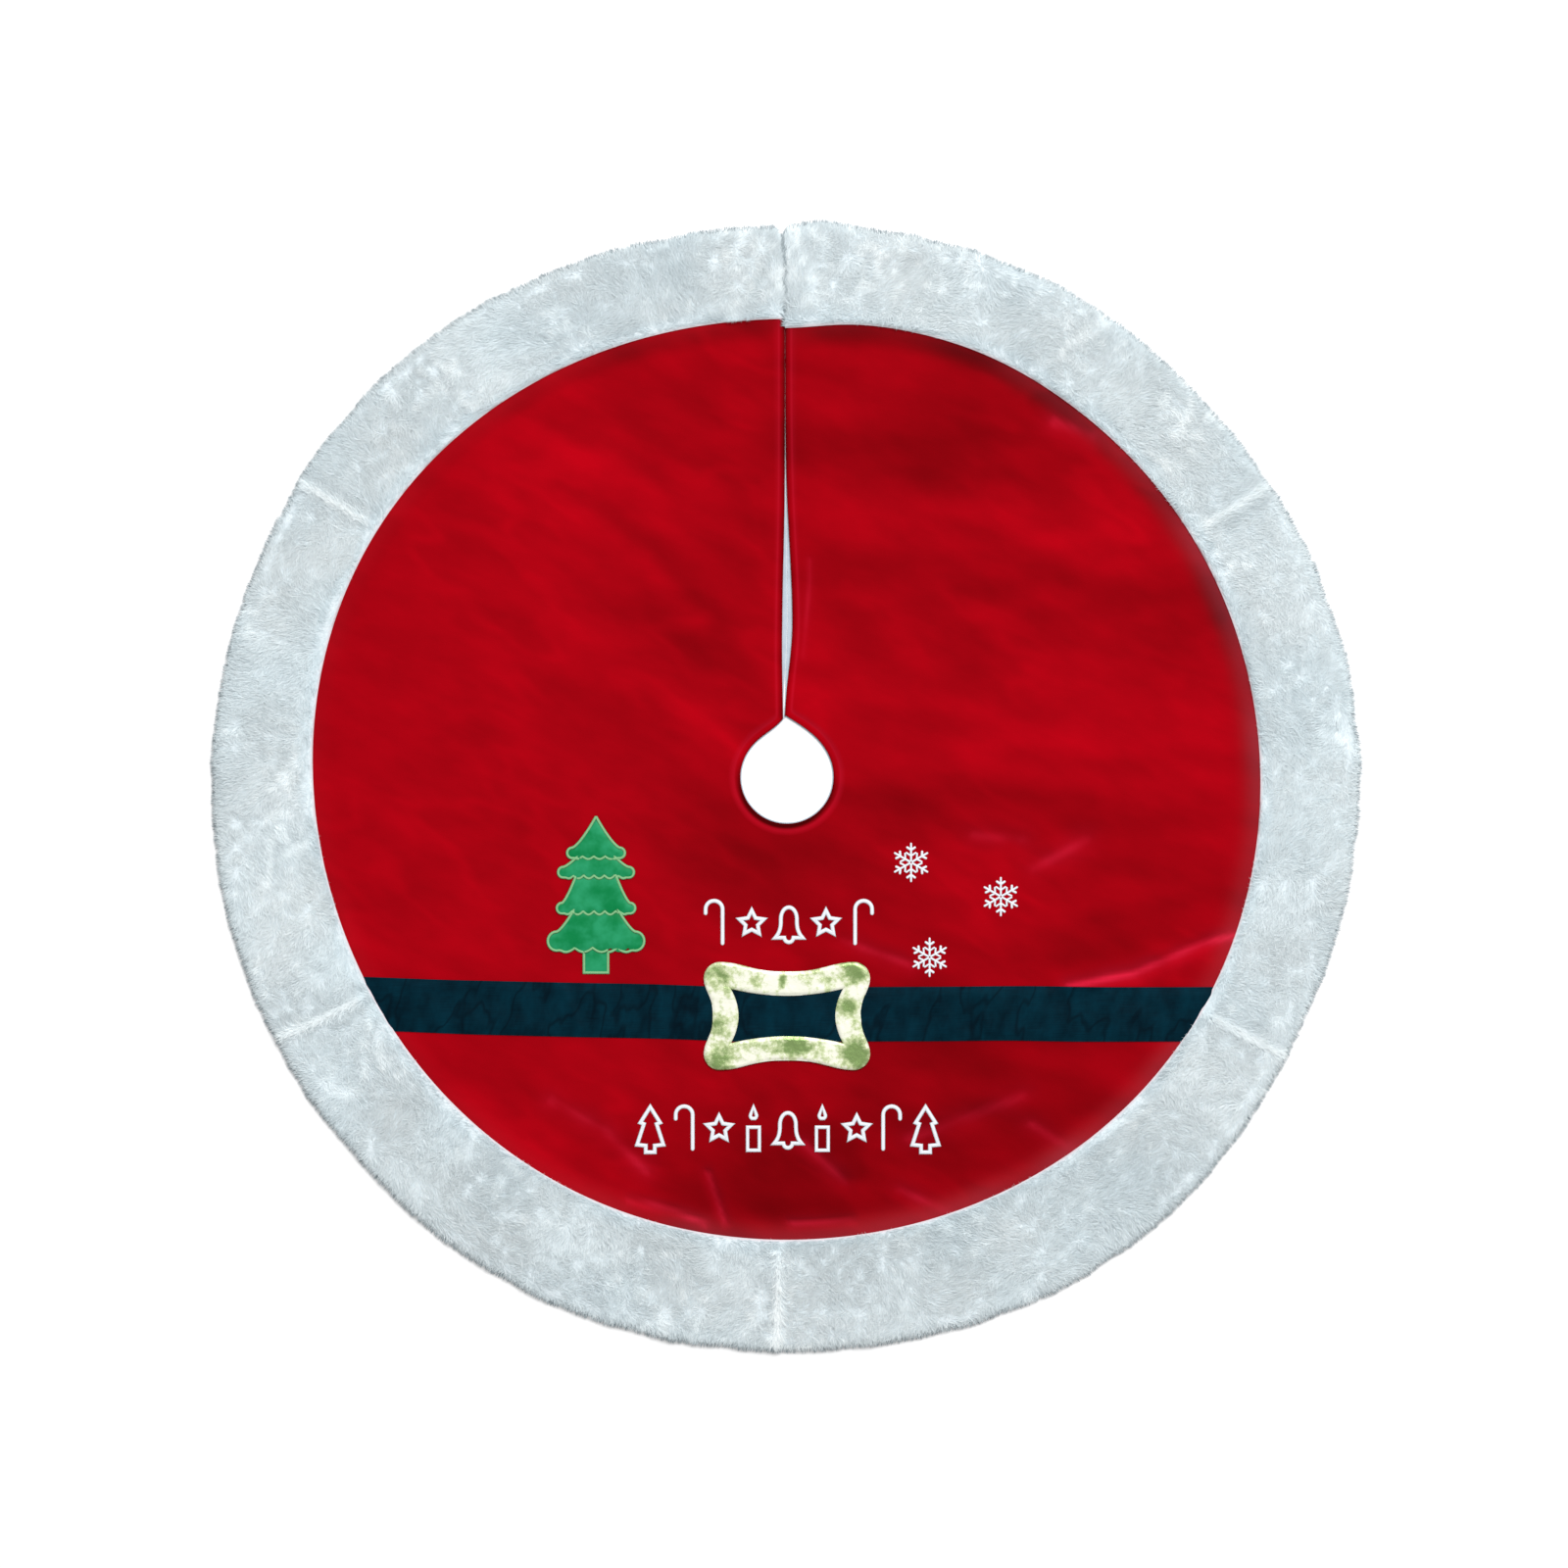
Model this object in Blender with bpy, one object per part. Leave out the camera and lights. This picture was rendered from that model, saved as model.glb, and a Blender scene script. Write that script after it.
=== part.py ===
"""Round fabric tree skirt, laid flat, open along a slit at the back.

A lining carries a velour top with hemmed edges, a border of six plush panels and
flat decoration: a belt with a buckle, a fir tree, snowflakes and two rows of
stitched ornaments. The two sectors beside the slit fold over the rest as flaps.

Metres, +Z up. The origin is the centre of the rim on the floor and the slit runs
along +Y. Angles are in degrees, counter-clockwise from +X.
"""
import math

import bmesh
import bpy

# ------------------------------------------------------------------ driving sizes

SKIRT_RADIUS = 0.606       # outer edge of the plush border
BORDER_WIDTH = 0.1073      # plush border, from its seam to the outer edge
HOLE_RADIUS = 0.050        # opening for the trunk
SLIT_WIDTH = 0.005         # between the two back edges
HEM_WIDTH = 0.008          # turned hem along the slit and round the hole
SEAM_LAP = 0.010           # velour that runs on under the plush
RIM_LIP = 0.003            # plush turned down past the lining's edge

LINING_THICKNESS = 0.0010
VELOUR_THICKNESS = 0.0022
HEM_RISE = 0.0004          # doubled hem above the velour
PLUSH_HEIGHT = 0.010       # top of the pile above the floor
RIBBON_THICKNESS = 0.0006
FOIL_THICKNESS = 0.0012
SATIN_THICKNESS = 0.0006
STITCH_THICKNESS = 0.0010

CLEARANCE = 0.0003         # between pieces that lie on or against each other
FOLD_GAP = 0.0003          # across a fold line or a panel seam
FOLD_RISE = 0.0010         # fold axis above the top of the pile

SLIT_ANGLE = 90.0
FLAP_ANGLE = 58.0          # each flap, from the slit to its fold line
PANEL_SEAMS = (206.5, 269.0, 331.5)   # plush seams in the part that doesn't fold
ANGLE_STEP = 4.0           # facets of every circle about the origin

# The decoration is drawn for a velour disc of this radius and graded with it.
ARTWORK_RADIUS = 0.4987
BELT_WIDTH = 0.058
BELT_Y = -0.2425
BUCKLE_Y = -0.2446
BUCKLE_HALF = (0.0915, 0.0592)        # half width and height at the corners
BUCKLE_BOW = (0.0125, 0.0112)         # how far the sides, and top and bottom, bow in
BUCKLE_CORNER = 0.007
WINDOW_HALF = (0.0595, 0.0287)
WINDOW_BOW = (0.0083, 0.0075)

TREE_AT = (-0.2030, -0.0325)          # tip of the fir tree
TREE_TIERS = (                        # half width and drop of each tip, then of its waist
    (0.0318, 0.0400, 0.0182, 0.0430),
    (0.0418, 0.0595, 0.0214, 0.0645),
    (0.0424, 0.0955, 0.0240, 0.0993),
    (0.0520, 0.1305, 0.0128, 0.1420))
TREE_TRUNK_DROP = 0.1661
TREE_EDGE_WIDTH = 0.0022              # satin stitch round the tree
TREE_STITCH_SAG = 0.0030

SNOWFLAKES = ((0.1320, -0.0814), (0.2274, -0.1177), (0.1517, -0.1822))
SNOWFLAKE_RADIUS = 0.0210
SNOWFLAKE_ARM = 0.0011                # half width of its stitched lines
SNOWFLAKE_BRANCHES = ((0.0088, 0.0052), (0.0150, 0.0042))   # distance out, length

STROKE = 0.0045                       # width of the ornaments' stitched lines
UPPER_ROW = ((0.002, -0.1465), 0.0395, ("cane", "star", "bell", "star", "cane_mirrored"))
LOWER_ROW = ((0.001, -0.3651), 0.0366, (
    "fir", "cane", "star", "candle", "bell", "candle", "star", "cane_mirrored", "fir"))

# ------------------------------------------------------------------ worked-out sizes

SEAM_RADIUS = SKIRT_RADIUS - BORDER_WIDTH
VELOUR_RADIUS = SEAM_RADIUS + SEAM_LAP
LINING_RADIUS = SKIRT_RADIUS - RIM_LIP
HEM_RADIUS = HOLE_RADIUS + HEM_WIDTH
SLIT_HALF = SLIT_WIDTH / 2
FOLD_HALF = FOLD_GAP / 2
GRADE = SEAM_RADIUS / ARTWORK_RADIUS
# Radius that stays inside every facet of the plush border's inner edge.
SEAM_CLEAR = SEAM_RADIUS * math.cos(math.radians(ANGLE_STEP / 2)) - CLEARANCE

VELOUR_Z = LINING_THICKNESS + CLEARANCE
VELOUR_TOP = VELOUR_Z + VELOUR_THICKNESS
HEM_TOP = VELOUR_TOP + HEM_RISE
LAP_Z = HEM_TOP + CLEARANCE
DECOR_Z = VELOUR_TOP + CLEARANCE
BUCKLE_Z = DECOR_Z + RIBBON_THICKNESS + CLEARANCE
TREE_STITCH_Z = DECOR_Z + SATIN_THICKNESS + CLEARANCE
FOLD_Z = PLUSH_HEIGHT + FOLD_RISE

LEFT_FOLD = SLIT_ANGLE + FLAP_ANGLE
RIGHT_FOLD = SLIT_ANGLE - FLAP_ANGLE

# Each sector: where it starts and ends, and the gap kept to that radial plane.
LEFT = ("left", SLIT_ANGLE, LEFT_FOLD)
FRONT = ("front", LEFT_FOLD, RIGHT_FOLD + 360)
RIGHT = ("right", RIGHT_FOLD, SLIT_ANGLE)

FINISHES = {   # colour, roughness, metallic
    "lining": ((0.78, 0.80, 0.82, 1), 0.85, 0.0),
    "velour": ((0.38, 0.001, 0.008, 1), 0.75, 0.0),
    "plush": ((0.72, 0.79, 0.82, 1), 0.90, 0.0),
    "belt_satin": ((0.002, 0.011, 0.023, 1), 0.45, 0.0),
    "gold_foil": ((0.86, 0.72, 0.30, 1), 0.28, 1.0),
    "green_satin": ((0.010, 0.270, 0.100, 1), 0.50, 0.0),
    "green_thread": ((0.250, 0.580, 0.280, 1), 0.55, 0.0),
    "white_thread": ((0.86, 0.87, 0.88, 1), 0.55, 0.0),
}


# ------------------------------------------------------------------ making objects

def clear_scene():
    """Remove whatever objects the file holds."""
    for old in list(bpy.data.objects):
        bpy.data.objects.remove(old)


def finish_material(name):
    """Return the named finish, made on first use."""
    found = bpy.data.materials.get(name)
    if found:
        return found
    colour, roughness, metallic = FINISHES[name]
    made = bpy.data.materials.new(name)
    made.use_nodes = True
    shader = made.node_tree.nodes["Principled BSDF"]
    shader.inputs["Base Color"].default_value = colour
    shader.inputs["Roughness"].default_value = roughness
    shader.inputs["Metallic"].default_value = metallic
    return made


def fold_axis(name, angle):
    """Empty on a flap's fold axis, its X along the fold, above the pile."""
    axis = bpy.data.objects.new(name, None)
    axis.location = (0, 0, FOLD_Z)
    axis.rotation_euler = (0, 0, math.radians(angle))
    bpy.context.collection.objects.link(axis)
    bpy.context.view_layer.update()
    return axis


def add_object(name, bm, finish, parent=None):
    """Turn a bmesh into a named object with its faces outward."""
    bmesh.ops.recalc_face_normals(bm, faces=bm.faces)
    mesh = bpy.data.meshes.new(name)
    bm.to_mesh(mesh)
    bm.free()
    mesh.shade_smooth()
    mesh.set_sharp_from_angle(angle=math.radians(35))
    mesh.materials.append(finish_material(finish))
    made = bpy.data.objects.new(name, mesh)
    bpy.context.collection.objects.link(made)
    if parent:
        made.parent = parent
        made.matrix_parent_inverse = parent.matrix_world.inverted()
    return made


def facet_angles(start, end):
    """The shared facet angles strictly between two angles, so that rings stay parallel."""
    first = math.floor(start / ANGLE_STEP) + 1
    angles = []
    while first * ANGLE_STEP < end - ANGLE_STEP / 8:
        if first * ANGLE_STEP > start + ANGLE_STEP / 8:
            angles.append(first * ANGLE_STEP)
        first += 1
    return angles


def sector_arc(radius, start, end, gaps):
    """Points of a circle about the origin between two flat radial sides.

    Each side lies its gap inside the radial plane of its angle.
    """
    first = start + math.degrees(math.asin(gaps[0] / radius))
    last = end - math.degrees(math.asin(gaps[1] / radius))
    angles = [math.radians(a) for a in (first, *facet_angles(first, last), last)]
    return [(radius * math.cos(a), radius * math.sin(a)) for a in angles]


def ring_sector(name, profile, start, end, gaps, finish, parent=None):
    """Sweep a closed (radius, height) profile about Z between two flat radial sides."""
    bm = bmesh.new()
    columns = []
    for radius, height in profile:
        arc_points = sector_arc(radius, start, end, gaps)
        columns.append([bm.verts.new((x, y, height)) for x, y in arc_points])
    for here, after in zip(columns, columns[1:] + columns[:1]):
        for k in range(len(here) - 1):
            bm.faces.new((here[k], here[k + 1], after[k + 1], after[k]))
    bm.faces.new([column[0] for column in columns])
    bm.faces.new([column[-1] for column in columns])
    return add_object(name, bm, finish, parent)


def plate(name, loops, low, high, finish, parent=None):
    """Flat plate between two heights: an outline, and perhaps loops that are holes."""
    bm = bmesh.new()
    for height in (low, high):
        for loop in loops:
            for x, y in loop:
                bm.verts.new((x, y, height))
    bm.verts.ensure_lookup_table()
    count = sum(len(loop) for loop in loops)
    rims = ([], [])
    start = 0
    for loop in loops:
        for k in range(len(loop)):
            a = start + k
            b = start + (k + 1) % len(loop)
            corners = [bm.verts[i] for i in (a, b, b + count, a + count)]
            bm.faces.new(corners)
            rims[0].append(bm.edges.get(corners[:2]))
            rims[1].append(bm.edges.get(corners[2:]))
        start += len(loop)
    for rim in rims:
        bmesh.ops.triangle_fill(bm, use_beauty=True, edges=rim, normal=(0, 0, 1))
    return add_object(name, bm, finish, parent)


# ------------------------------------------------------------------ outlines

def move(points, at, size=1.0, mirror=False):
    """Scale an outline, perhaps mirror it left to right, and move it to its place."""
    side = -size if mirror else size
    moved = [(at[0] + side * x, at[1] + size * y) for x, y in points]
    return moved[::-1] if mirror else moved


def arc(centre, radius, start, end, steps, squash=1.0):
    """Points on an arc, its height multiplied by squash."""
    points = []
    for k in range(steps + 1):
        a = math.radians(start + (end - start) * k / steps)
        points.append((centre[0] + radius * math.cos(a), centre[1] + squash * radius * math.sin(a)))
    return points


def offset(points, distance, closed=True):
    """Shift a line to its left by a distance, with mitred corners."""
    shifted = []
    last = len(points) - 1
    for k, (x, y) in enumerate(points):
        before = points[k - 1] if closed or k > 0 else None
        after = points[(k + 1) % len(points)] if closed or k < last else None
        normals = []
        for a, b in ((before, (x, y)), ((x, y), after)):
            if a and b:
                length = math.dist(a, b)
                normals.append(((a[1] - b[1]) / length, (b[0] - a[0]) / length))
        nx = sum(n[0] for n in normals)
        ny = sum(n[1] for n in normals)
        scale = distance * len(normals) / (nx * nx + ny * ny)
        shifted.append((x + nx * scale, y + ny * scale))
    return shifted


def open_stroke(points, width=STROKE):
    """Outline of a line of even width."""
    return [offset(points, -width / 2, closed=False) + offset(points, width / 2, closed=False)[::-1]]


def closed_stroke(points, width=STROKE):
    """Outer and inner outline of a closed counter-clockwise line of even width."""
    return [offset(points, -width / 2), offset(points, width / 2)]


def fir_outline(tiers, trunk_drop):
    """Fir tree below its tip: for each tier its tips and the waist under them."""
    left = [(0.0, 0.0)]
    for tip_half, tip_drop, waist_half, waist_drop in tiers:
        left += [(-tip_half, -tip_drop), (-waist_half, -waist_drop)]
    left.append((-tiers[-1][2], -trunk_drop))
    right = [(-x, y) for x, y in left[:0:-1]]
    return left + right


def bowed_box(centre, half, bow, corner, steps=8):
    """Box whose sides bow in as parabolas, its corners rounded or, with 0, sharp."""
    half_x, half_y = half
    reach_x, reach_y = 1 - corner / half_x, 1 - corner / half_y
    across = [reach_x * (2 * k / steps - 1) for k in range(steps + 1)]
    up = [reach_y * (2 * k / steps - 1) for k in range(steps + 1)]
    points = [(half_x * t, -half_y + bow[1] * (1 - t * t)) for t in across]
    points += rounding(corner, (half_x, -half_y), bow, half, 1, -1)
    points += [(half_x - bow[0] * (1 - t * t), half_y * t) for t in up]
    points += rounding(corner, (half_x, half_y), bow, half, 1, 1)[::-1]
    lower = len(points)
    points += [(-x, -y) for x, y in points[:lower]]
    return move(tidy_loop(points), centre)


def rounding(corner, tip, bow, half, side_x, side_y):
    """Two points that round a bowed box's corner, from its flat side to its upright side."""
    if corner == 0:
        return []
    drop_y = bow[1] * (1 - (1 - corner / half[0]) ** 2)
    drop_x = bow[0] * (1 - (1 - corner / half[1]) ** 2)
    first = (tip[0] - side_x * corner, tip[1] - side_y * drop_y)
    last = (tip[0] - side_x * drop_x, tip[1] - side_y * corner)
    rounded = []
    for t in (1 / 3, 2 / 3):
        rounded.append(tuple(
            (1 - t) ** 2 * a + 2 * t * (1 - t) * b + t * t * c for a, b, c in zip(first, tip, last)))
    return rounded


def tidy_loop(points):
    """Drop points of a closed loop that repeat the one before."""
    return [p for k, p in enumerate(points) if math.dist(p, points[k - 1]) > 1e-6]


# ------------------------------------------------------------------ the ornaments' outlines

def cane_loops():
    """Walking-stick shaped sweet, its hook to the left."""
    stem = [(0.0085, -0.0240), (0.0085, -0.0045), (0.0085, 0.0120)]
    return open_stroke(stem + arc((-0.0005, 0.0142), 0.0090, 0, 180, 8) + [(-0.0095, 0.0080)])


def star_loops():
    """Five-pointed star drawn in outline."""
    points = []
    for k in range(10):
        radius = 0.0068 if k % 2 else 0.0135
        a = math.radians(90 + 36 * k)
        points.append((radius * math.cos(a), radius * math.sin(a)))
    return closed_stroke(points)


def bell_loops():
    """Bell in outline: flared side, domed top, and the clapper's bump in its lower edge."""
    mouth, waist, shoulder, brim = 0.0145, 0.0085, 0.0050, -0.0150
    side = []
    for k in range(6):
        rise = k / 6
        flare = (mouth - waist) * (1 - rise) ** 3
        side.append((waist + flare, brim + (shoulder - brim) * rise))
    dome = arc((0, shoulder), waist, 0, 90, 4, squash=1.45)
    right = side + dome
    left = [(-x, y) for x, y in right[-2::-1]]
    clapper = arc((0, brim), 0.0048, 180, 360, 6)
    return closed_stroke(right + left + clapper)


def candle_loops():
    """Candle in outline with a solid flame on a short wick."""
    half, foot, top, wick = 0.0085, -0.0250, 0.0040, 0.0012
    flame = arc((0, 0.0140), 0.0055, -65, 35, 5) + [(0, 0.0265)] + arc((0, 0.0140), 0.0055, 145, 245, 5)
    outer = [(-half, foot), (half, foot), (half, top), (wick, top), *flame, (-wick, top), (-half, top)]
    return [outer, offset([(-half, foot), (half, foot), (half, top), (-half, top)], STROKE)]


def fir_loops():
    """Small fir tree in outline."""
    tiers = ((0.0105, 0.0165, 0.0068, 0.0180), (0.0140, 0.0400, 0.0048, 0.0410))
    return closed_stroke(move(fir_outline(tiers, 0.0480), (0, 0.0240)))


ORNAMENTS = {
    "cane": cane_loops, "star": star_loops, "bell": bell_loops, "candle": candle_loops, "fir": fir_loops}


# ------------------------------------------------------------------ cloth layers

def add_cloth_layers(sector, gap_start, gap_end, parent):
    """Lining, velour and hole hem of one sector. A side at the slit leaves room for its hem."""
    name, start, end = sector
    slit_room = HEM_WIDTH + CLEARANCE
    velour_gaps = [gap + slit_room if gap == SLIT_HALF else gap for gap in (gap_start, gap_end)]
    layers = (
        (f"lining_{name}", HOLE_RADIUS, LINING_RADIUS, 0, LINING_THICKNESS,
         (gap_start, gap_end), "lining"),
        (f"velour_{name}", HEM_RADIUS + CLEARANCE, VELOUR_RADIUS, VELOUR_Z, VELOUR_TOP,
         velour_gaps, "velour"),
        (f"trunk_hole_hem_{name}", HOLE_RADIUS, HEM_RADIUS, VELOUR_Z, HEM_TOP,
         (gap_start, gap_end), "velour"))
    for node, inner, outer, low, high, gaps, finish in layers:
        loop = sector_arc(outer, start, end, gaps) + sector_arc(inner, start, end, gaps)[::-1]
        plate(node, [loop], low, high, finish, parent)


def add_slit_hem(name, side, parent):
    """Straight hem along one edge of the slit, from the hole's hem to under the plush."""
    inner, outer = SLIT_HALF, SLIT_HALF + HEM_WIDTH
    low_y = HEM_RADIUS + CLEARANCE
    high_y = math.sqrt((VELOUR_RADIUS - CLEARANCE) ** 2 - outer ** 2)
    xs = sorted((side * inner, side * outer))
    loop = [(xs[0], low_y), (xs[1], low_y), (xs[1], high_y), (xs[0], high_y)]
    plate(name, [loop], VELOUR_Z, HEM_TOP, "velour", parent)


def plush_profile():
    """Section of the border: lapped over the velour, crowned, turned down at the rim."""
    height = PLUSH_HEIGHT
    lap_end, lip_start = VELOUR_RADIUS + CLEARANCE, LINING_RADIUS + CLEARANCE
    return (
        (lap_end, VELOUR_Z), (lip_start, VELOUR_Z), (lip_start, 0),
        (SKIRT_RADIUS - 0.0008, 0), (SKIRT_RADIUS, 0.35 * height),
        (SKIRT_RADIUS - 0.004, 0.78 * height), (SKIRT_RADIUS - 0.014, height),
        (SEAM_RADIUS + 0.014, height), (SEAM_RADIUS + 0.003, 0.80 * height),
        (SEAM_RADIUS, LAP_Z), (lap_end, LAP_Z))


def add_plush_border(left_axis, right_axis):
    """Six panels: one on each flap and four on the part that stays."""
    profile = plush_profile()
    ring_sector("plush_panel_left_back", profile, LEFT[1], LEFT[2],
                (SLIT_HALF, FOLD_HALF), "plush", left_axis)
    ring_sector("plush_panel_right_back", profile, RIGHT[1], RIGHT[2],
                (FOLD_HALF, SLIT_HALF), "plush", right_axis)
    names = ("left_side", "left_front", "right_front", "right_side")
    seams = (FRONT[1], *PANEL_SEAMS, FRONT[2])
    for name, start, end in zip(names, seams, seams[1:]):
        ring_sector(f"plush_panel_{name}", profile, start, end, (FOLD_HALF, FOLD_HALF), "plush")


# ------------------------------------------------------------------ decoration

def graded(point):
    """A place in the drawing, moved in or out with the velour disc."""
    return point[0] * GRADE, point[1] * GRADE


def add_belt():
    """Ribbon across the front, its ends cut to the seam circle."""
    low, high = BELT_Y * GRADE - BELT_WIDTH / 2, BELT_Y * GRADE + BELT_WIDTH / 2
    steps = 6
    ys = [low + (high - low) * k / steps for k in range(steps + 1)]
    right = [(math.sqrt(SEAM_CLEAR ** 2 - y * y), y) for y in ys]
    left = [(-x, y) for x, y in right[::-1]]
    plate("belt_ribbon", [right + left], DECOR_Z, DECOR_Z + RIBBON_THICKNESS, "belt_satin")


def add_buckle():
    """Foil buckle plate over the belt, with its window."""
    outer = bowed_box((0, BUCKLE_Y), BUCKLE_HALF, BUCKLE_BOW, BUCKLE_CORNER)
    window = bowed_box((0, BUCKLE_Y), WINDOW_HALF, WINDOW_BOW, 0)
    loops = [[graded(p) for p in loop] for loop in (outer, window)]
    plate("buckle", loops, BUCKLE_Z, BUCKLE_Z + FOIL_THICKNESS, "gold_foil")


def add_tree():
    """Satin fir tree with a stitched edge and a stitched line under each tier."""
    outline = [graded(p) for p in move(fir_outline(TREE_TIERS, TREE_TRUNK_DROP), TREE_AT)]
    inner = offset(outline, TREE_EDGE_WIDTH)
    satin = offset(outline, TREE_EDGE_WIDTH + CLEARANCE)
    plate("tree_satin", [satin], DECOR_Z, DECOR_Z + SATIN_THICKNESS, "green_satin")
    plate("tree_edge_stitch", [outline, inner], DECOR_Z,
          DECOR_Z + SATIN_THICKNESS + SATIN_THICKNESS, "green_thread")
    for number in range(1, len(TREE_TIERS) + 1):
        last = number == len(TREE_TIERS)
        name = "tree_trunk_stitch" if last else f"tree_tier_stitch_{number}"
        waist = 2 * number
        add_tier_stitch(name, satin[waist], satin[-waist], 0 if last else TREE_STITCH_SAG)


def add_tier_stitch(name, left, right, sag):
    """Stitched line across the satin between two waist corners, sagging to its middle."""
    steps = 6
    half = (right[0] - left[0]) / 2 - CLEARANCE
    middle = ((left[0] + right[0]) / 2, (left[1] + right[1]) / 2)
    line = []
    for k in range(steps + 1):
        t = 2 * k / steps - 1
        line.append((middle[0] + half * t, middle[1] - sag * (1 - t * t)))
    plate(name, open_stroke(line, TREE_EDGE_WIDTH), TREE_STITCH_Z,
          TREE_STITCH_Z + STITCH_THICKNESS, "green_thread")


def snowflake_outline():
    """Six arms, each with two pairs of slanted branches, as one outline."""
    lean = math.radians(55)
    along = (math.sin(lean), math.cos(lean))
    arm, right = SNOWFLAKE_ARM, []
    for out, length in SNOWFLAKE_BRANCHES:
        for side in (1, -1):
            start = (side * arm * along[1], out - side * arm * along[0])
            meet = (arm - start[0]) / along[0]
            ends = [(start[0] + t * along[0], start[1] + t * along[1]) for t in (meet, length)]
            right += ends if side == 1 else ends[::-1]
    right.append((arm, SNOWFLAKE_RADIUS))
    notch = (arm, arm * math.sqrt(3))
    arm_outline = [notch, *right, *[(-x, y) for x, y in right[::-1]]]
    points = []
    for k in range(6):
        turn = math.radians(60 * k)
        points += [(x * math.cos(turn) - y * math.sin(turn), x * math.sin(turn) + y * math.cos(turn))
                   for x, y in arm_outline]
    return points


def add_snowflakes():
    """Three embroidered snowflakes right of the middle."""
    for number, at in enumerate(SNOWFLAKES, 1):
        outline = [graded(p) for p in move(snowflake_outline(), at)]
        plate(f"snowflake_{number}", [outline], DECOR_Z, DECOR_Z + STITCH_THICKNESS, "white_thread")


def add_ornament_row(row_name, row):
    """Stitched ornaments side by side at an even pitch."""
    (centre_x, centre_y), pitch, shapes = row
    for number, shape in enumerate(shapes):
        at = (centre_x + pitch * (number - (len(shapes) - 1) / 2), centre_y)
        kind, _, mirrored = shape.partition("_")
        loops = [[graded(p) for p in move(loop, at, mirror=bool(mirrored))]
                 for loop in ORNAMENTS[kind]()]
        plate(f"{row_name}_ornament_{number + 1}_{kind}", loops, DECOR_Z,
              DECOR_Z + STITCH_THICKNESS, "white_thread")


# ------------------------------------------------------------------ the whole skirt

def main():
    clear_scene()
    left_axis = fold_axis("left_flap_axis", LEFT_FOLD)
    right_axis = fold_axis("right_flap_axis", RIGHT_FOLD)
    add_cloth_layers(FRONT, FOLD_HALF, FOLD_HALF, None)
    add_cloth_layers(LEFT, SLIT_HALF, FOLD_HALF, left_axis)
    add_cloth_layers(RIGHT, FOLD_HALF, SLIT_HALF, right_axis)
    add_slit_hem("slit_hem_left", -1, left_axis)
    add_slit_hem("slit_hem_right", 1, right_axis)
    add_plush_border(left_axis, right_axis)
    add_belt()
    add_buckle()
    add_tree()
    add_snowflakes()
    add_ornament_row("upper", UPPER_ROW)
    add_ornament_row("lower", LOWER_ROW)


main()
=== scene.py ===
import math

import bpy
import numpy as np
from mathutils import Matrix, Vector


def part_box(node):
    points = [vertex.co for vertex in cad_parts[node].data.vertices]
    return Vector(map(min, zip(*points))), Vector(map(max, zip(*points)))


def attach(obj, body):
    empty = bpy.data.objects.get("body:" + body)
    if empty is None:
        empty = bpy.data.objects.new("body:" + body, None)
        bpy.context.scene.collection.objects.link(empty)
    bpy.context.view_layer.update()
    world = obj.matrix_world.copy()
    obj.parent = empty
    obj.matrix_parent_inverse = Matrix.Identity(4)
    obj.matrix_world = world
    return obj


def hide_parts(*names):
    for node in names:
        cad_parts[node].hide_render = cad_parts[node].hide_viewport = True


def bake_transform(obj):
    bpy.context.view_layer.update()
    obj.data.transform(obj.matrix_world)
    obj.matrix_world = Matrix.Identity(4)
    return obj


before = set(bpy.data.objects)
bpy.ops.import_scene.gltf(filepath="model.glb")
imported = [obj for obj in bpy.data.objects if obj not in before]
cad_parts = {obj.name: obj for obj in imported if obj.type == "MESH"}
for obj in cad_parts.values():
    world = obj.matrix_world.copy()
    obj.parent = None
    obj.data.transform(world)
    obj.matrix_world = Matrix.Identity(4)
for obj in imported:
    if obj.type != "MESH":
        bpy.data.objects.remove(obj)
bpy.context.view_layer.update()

# Round tree skirt laid flat: velour over a lining, a plush border, a ribbon belt with a foil
# buckle, a satin fir tree and white embroidery. Metres, +Z up, the slit along +Y.
# Cloth and stitching are surfaces worked out as arrays; what lies on the velour takes its
# height from velour_face, so belt, buckle, tree and stitches follow the same folds.

MM = 0.001

# ---- sizes from the frame

LINING_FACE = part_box("lining_front")[1][2]
VELOUR_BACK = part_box("velour_front")[0][2]
VELOUR_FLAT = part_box("velour_front")[1][2]
PILE_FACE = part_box("plush_panel_left_side")[1][2]
SKIRT_RADIUS = -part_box("plush_panel_left_side")[0][0]
BORDER_WIDTH = SKIRT_RADIUS - (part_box("velour_front")[1][0] - 0.010)
SEAM_RADIUS = SKIRT_RADIUS - BORDER_WIDTH
HEM = 8 * MM                   # turned edge of the velour
HOLE_RADIUS = -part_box("trunk_hole_hem_front")[0][1] - HEM

# ---- the skirt's own shape

LEFT_FOLD = math.radians(148)
RIGHT_FOLD = math.radians(32)
FULL_TURN = 2 * math.pi
PANEL_SEAMS = [math.radians(a) for a in (148, 206.5, 269, 331.5, 392)]

# The border was cut a little out of round: (cosine, sine) in millimetres for one wave, two, ...
SEAM_WAVES = ((0.0, 9.0), (7.0, -3.0), (0.0, 2.0), (-2.0, -1.5))
RIM_WAVES = ((-1.0, -1.0), (4.5, -1.5), (-1.0, 1.5), (-1.5, 0.0), (1.0, 0.5), (1.5, 1.5))

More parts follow.
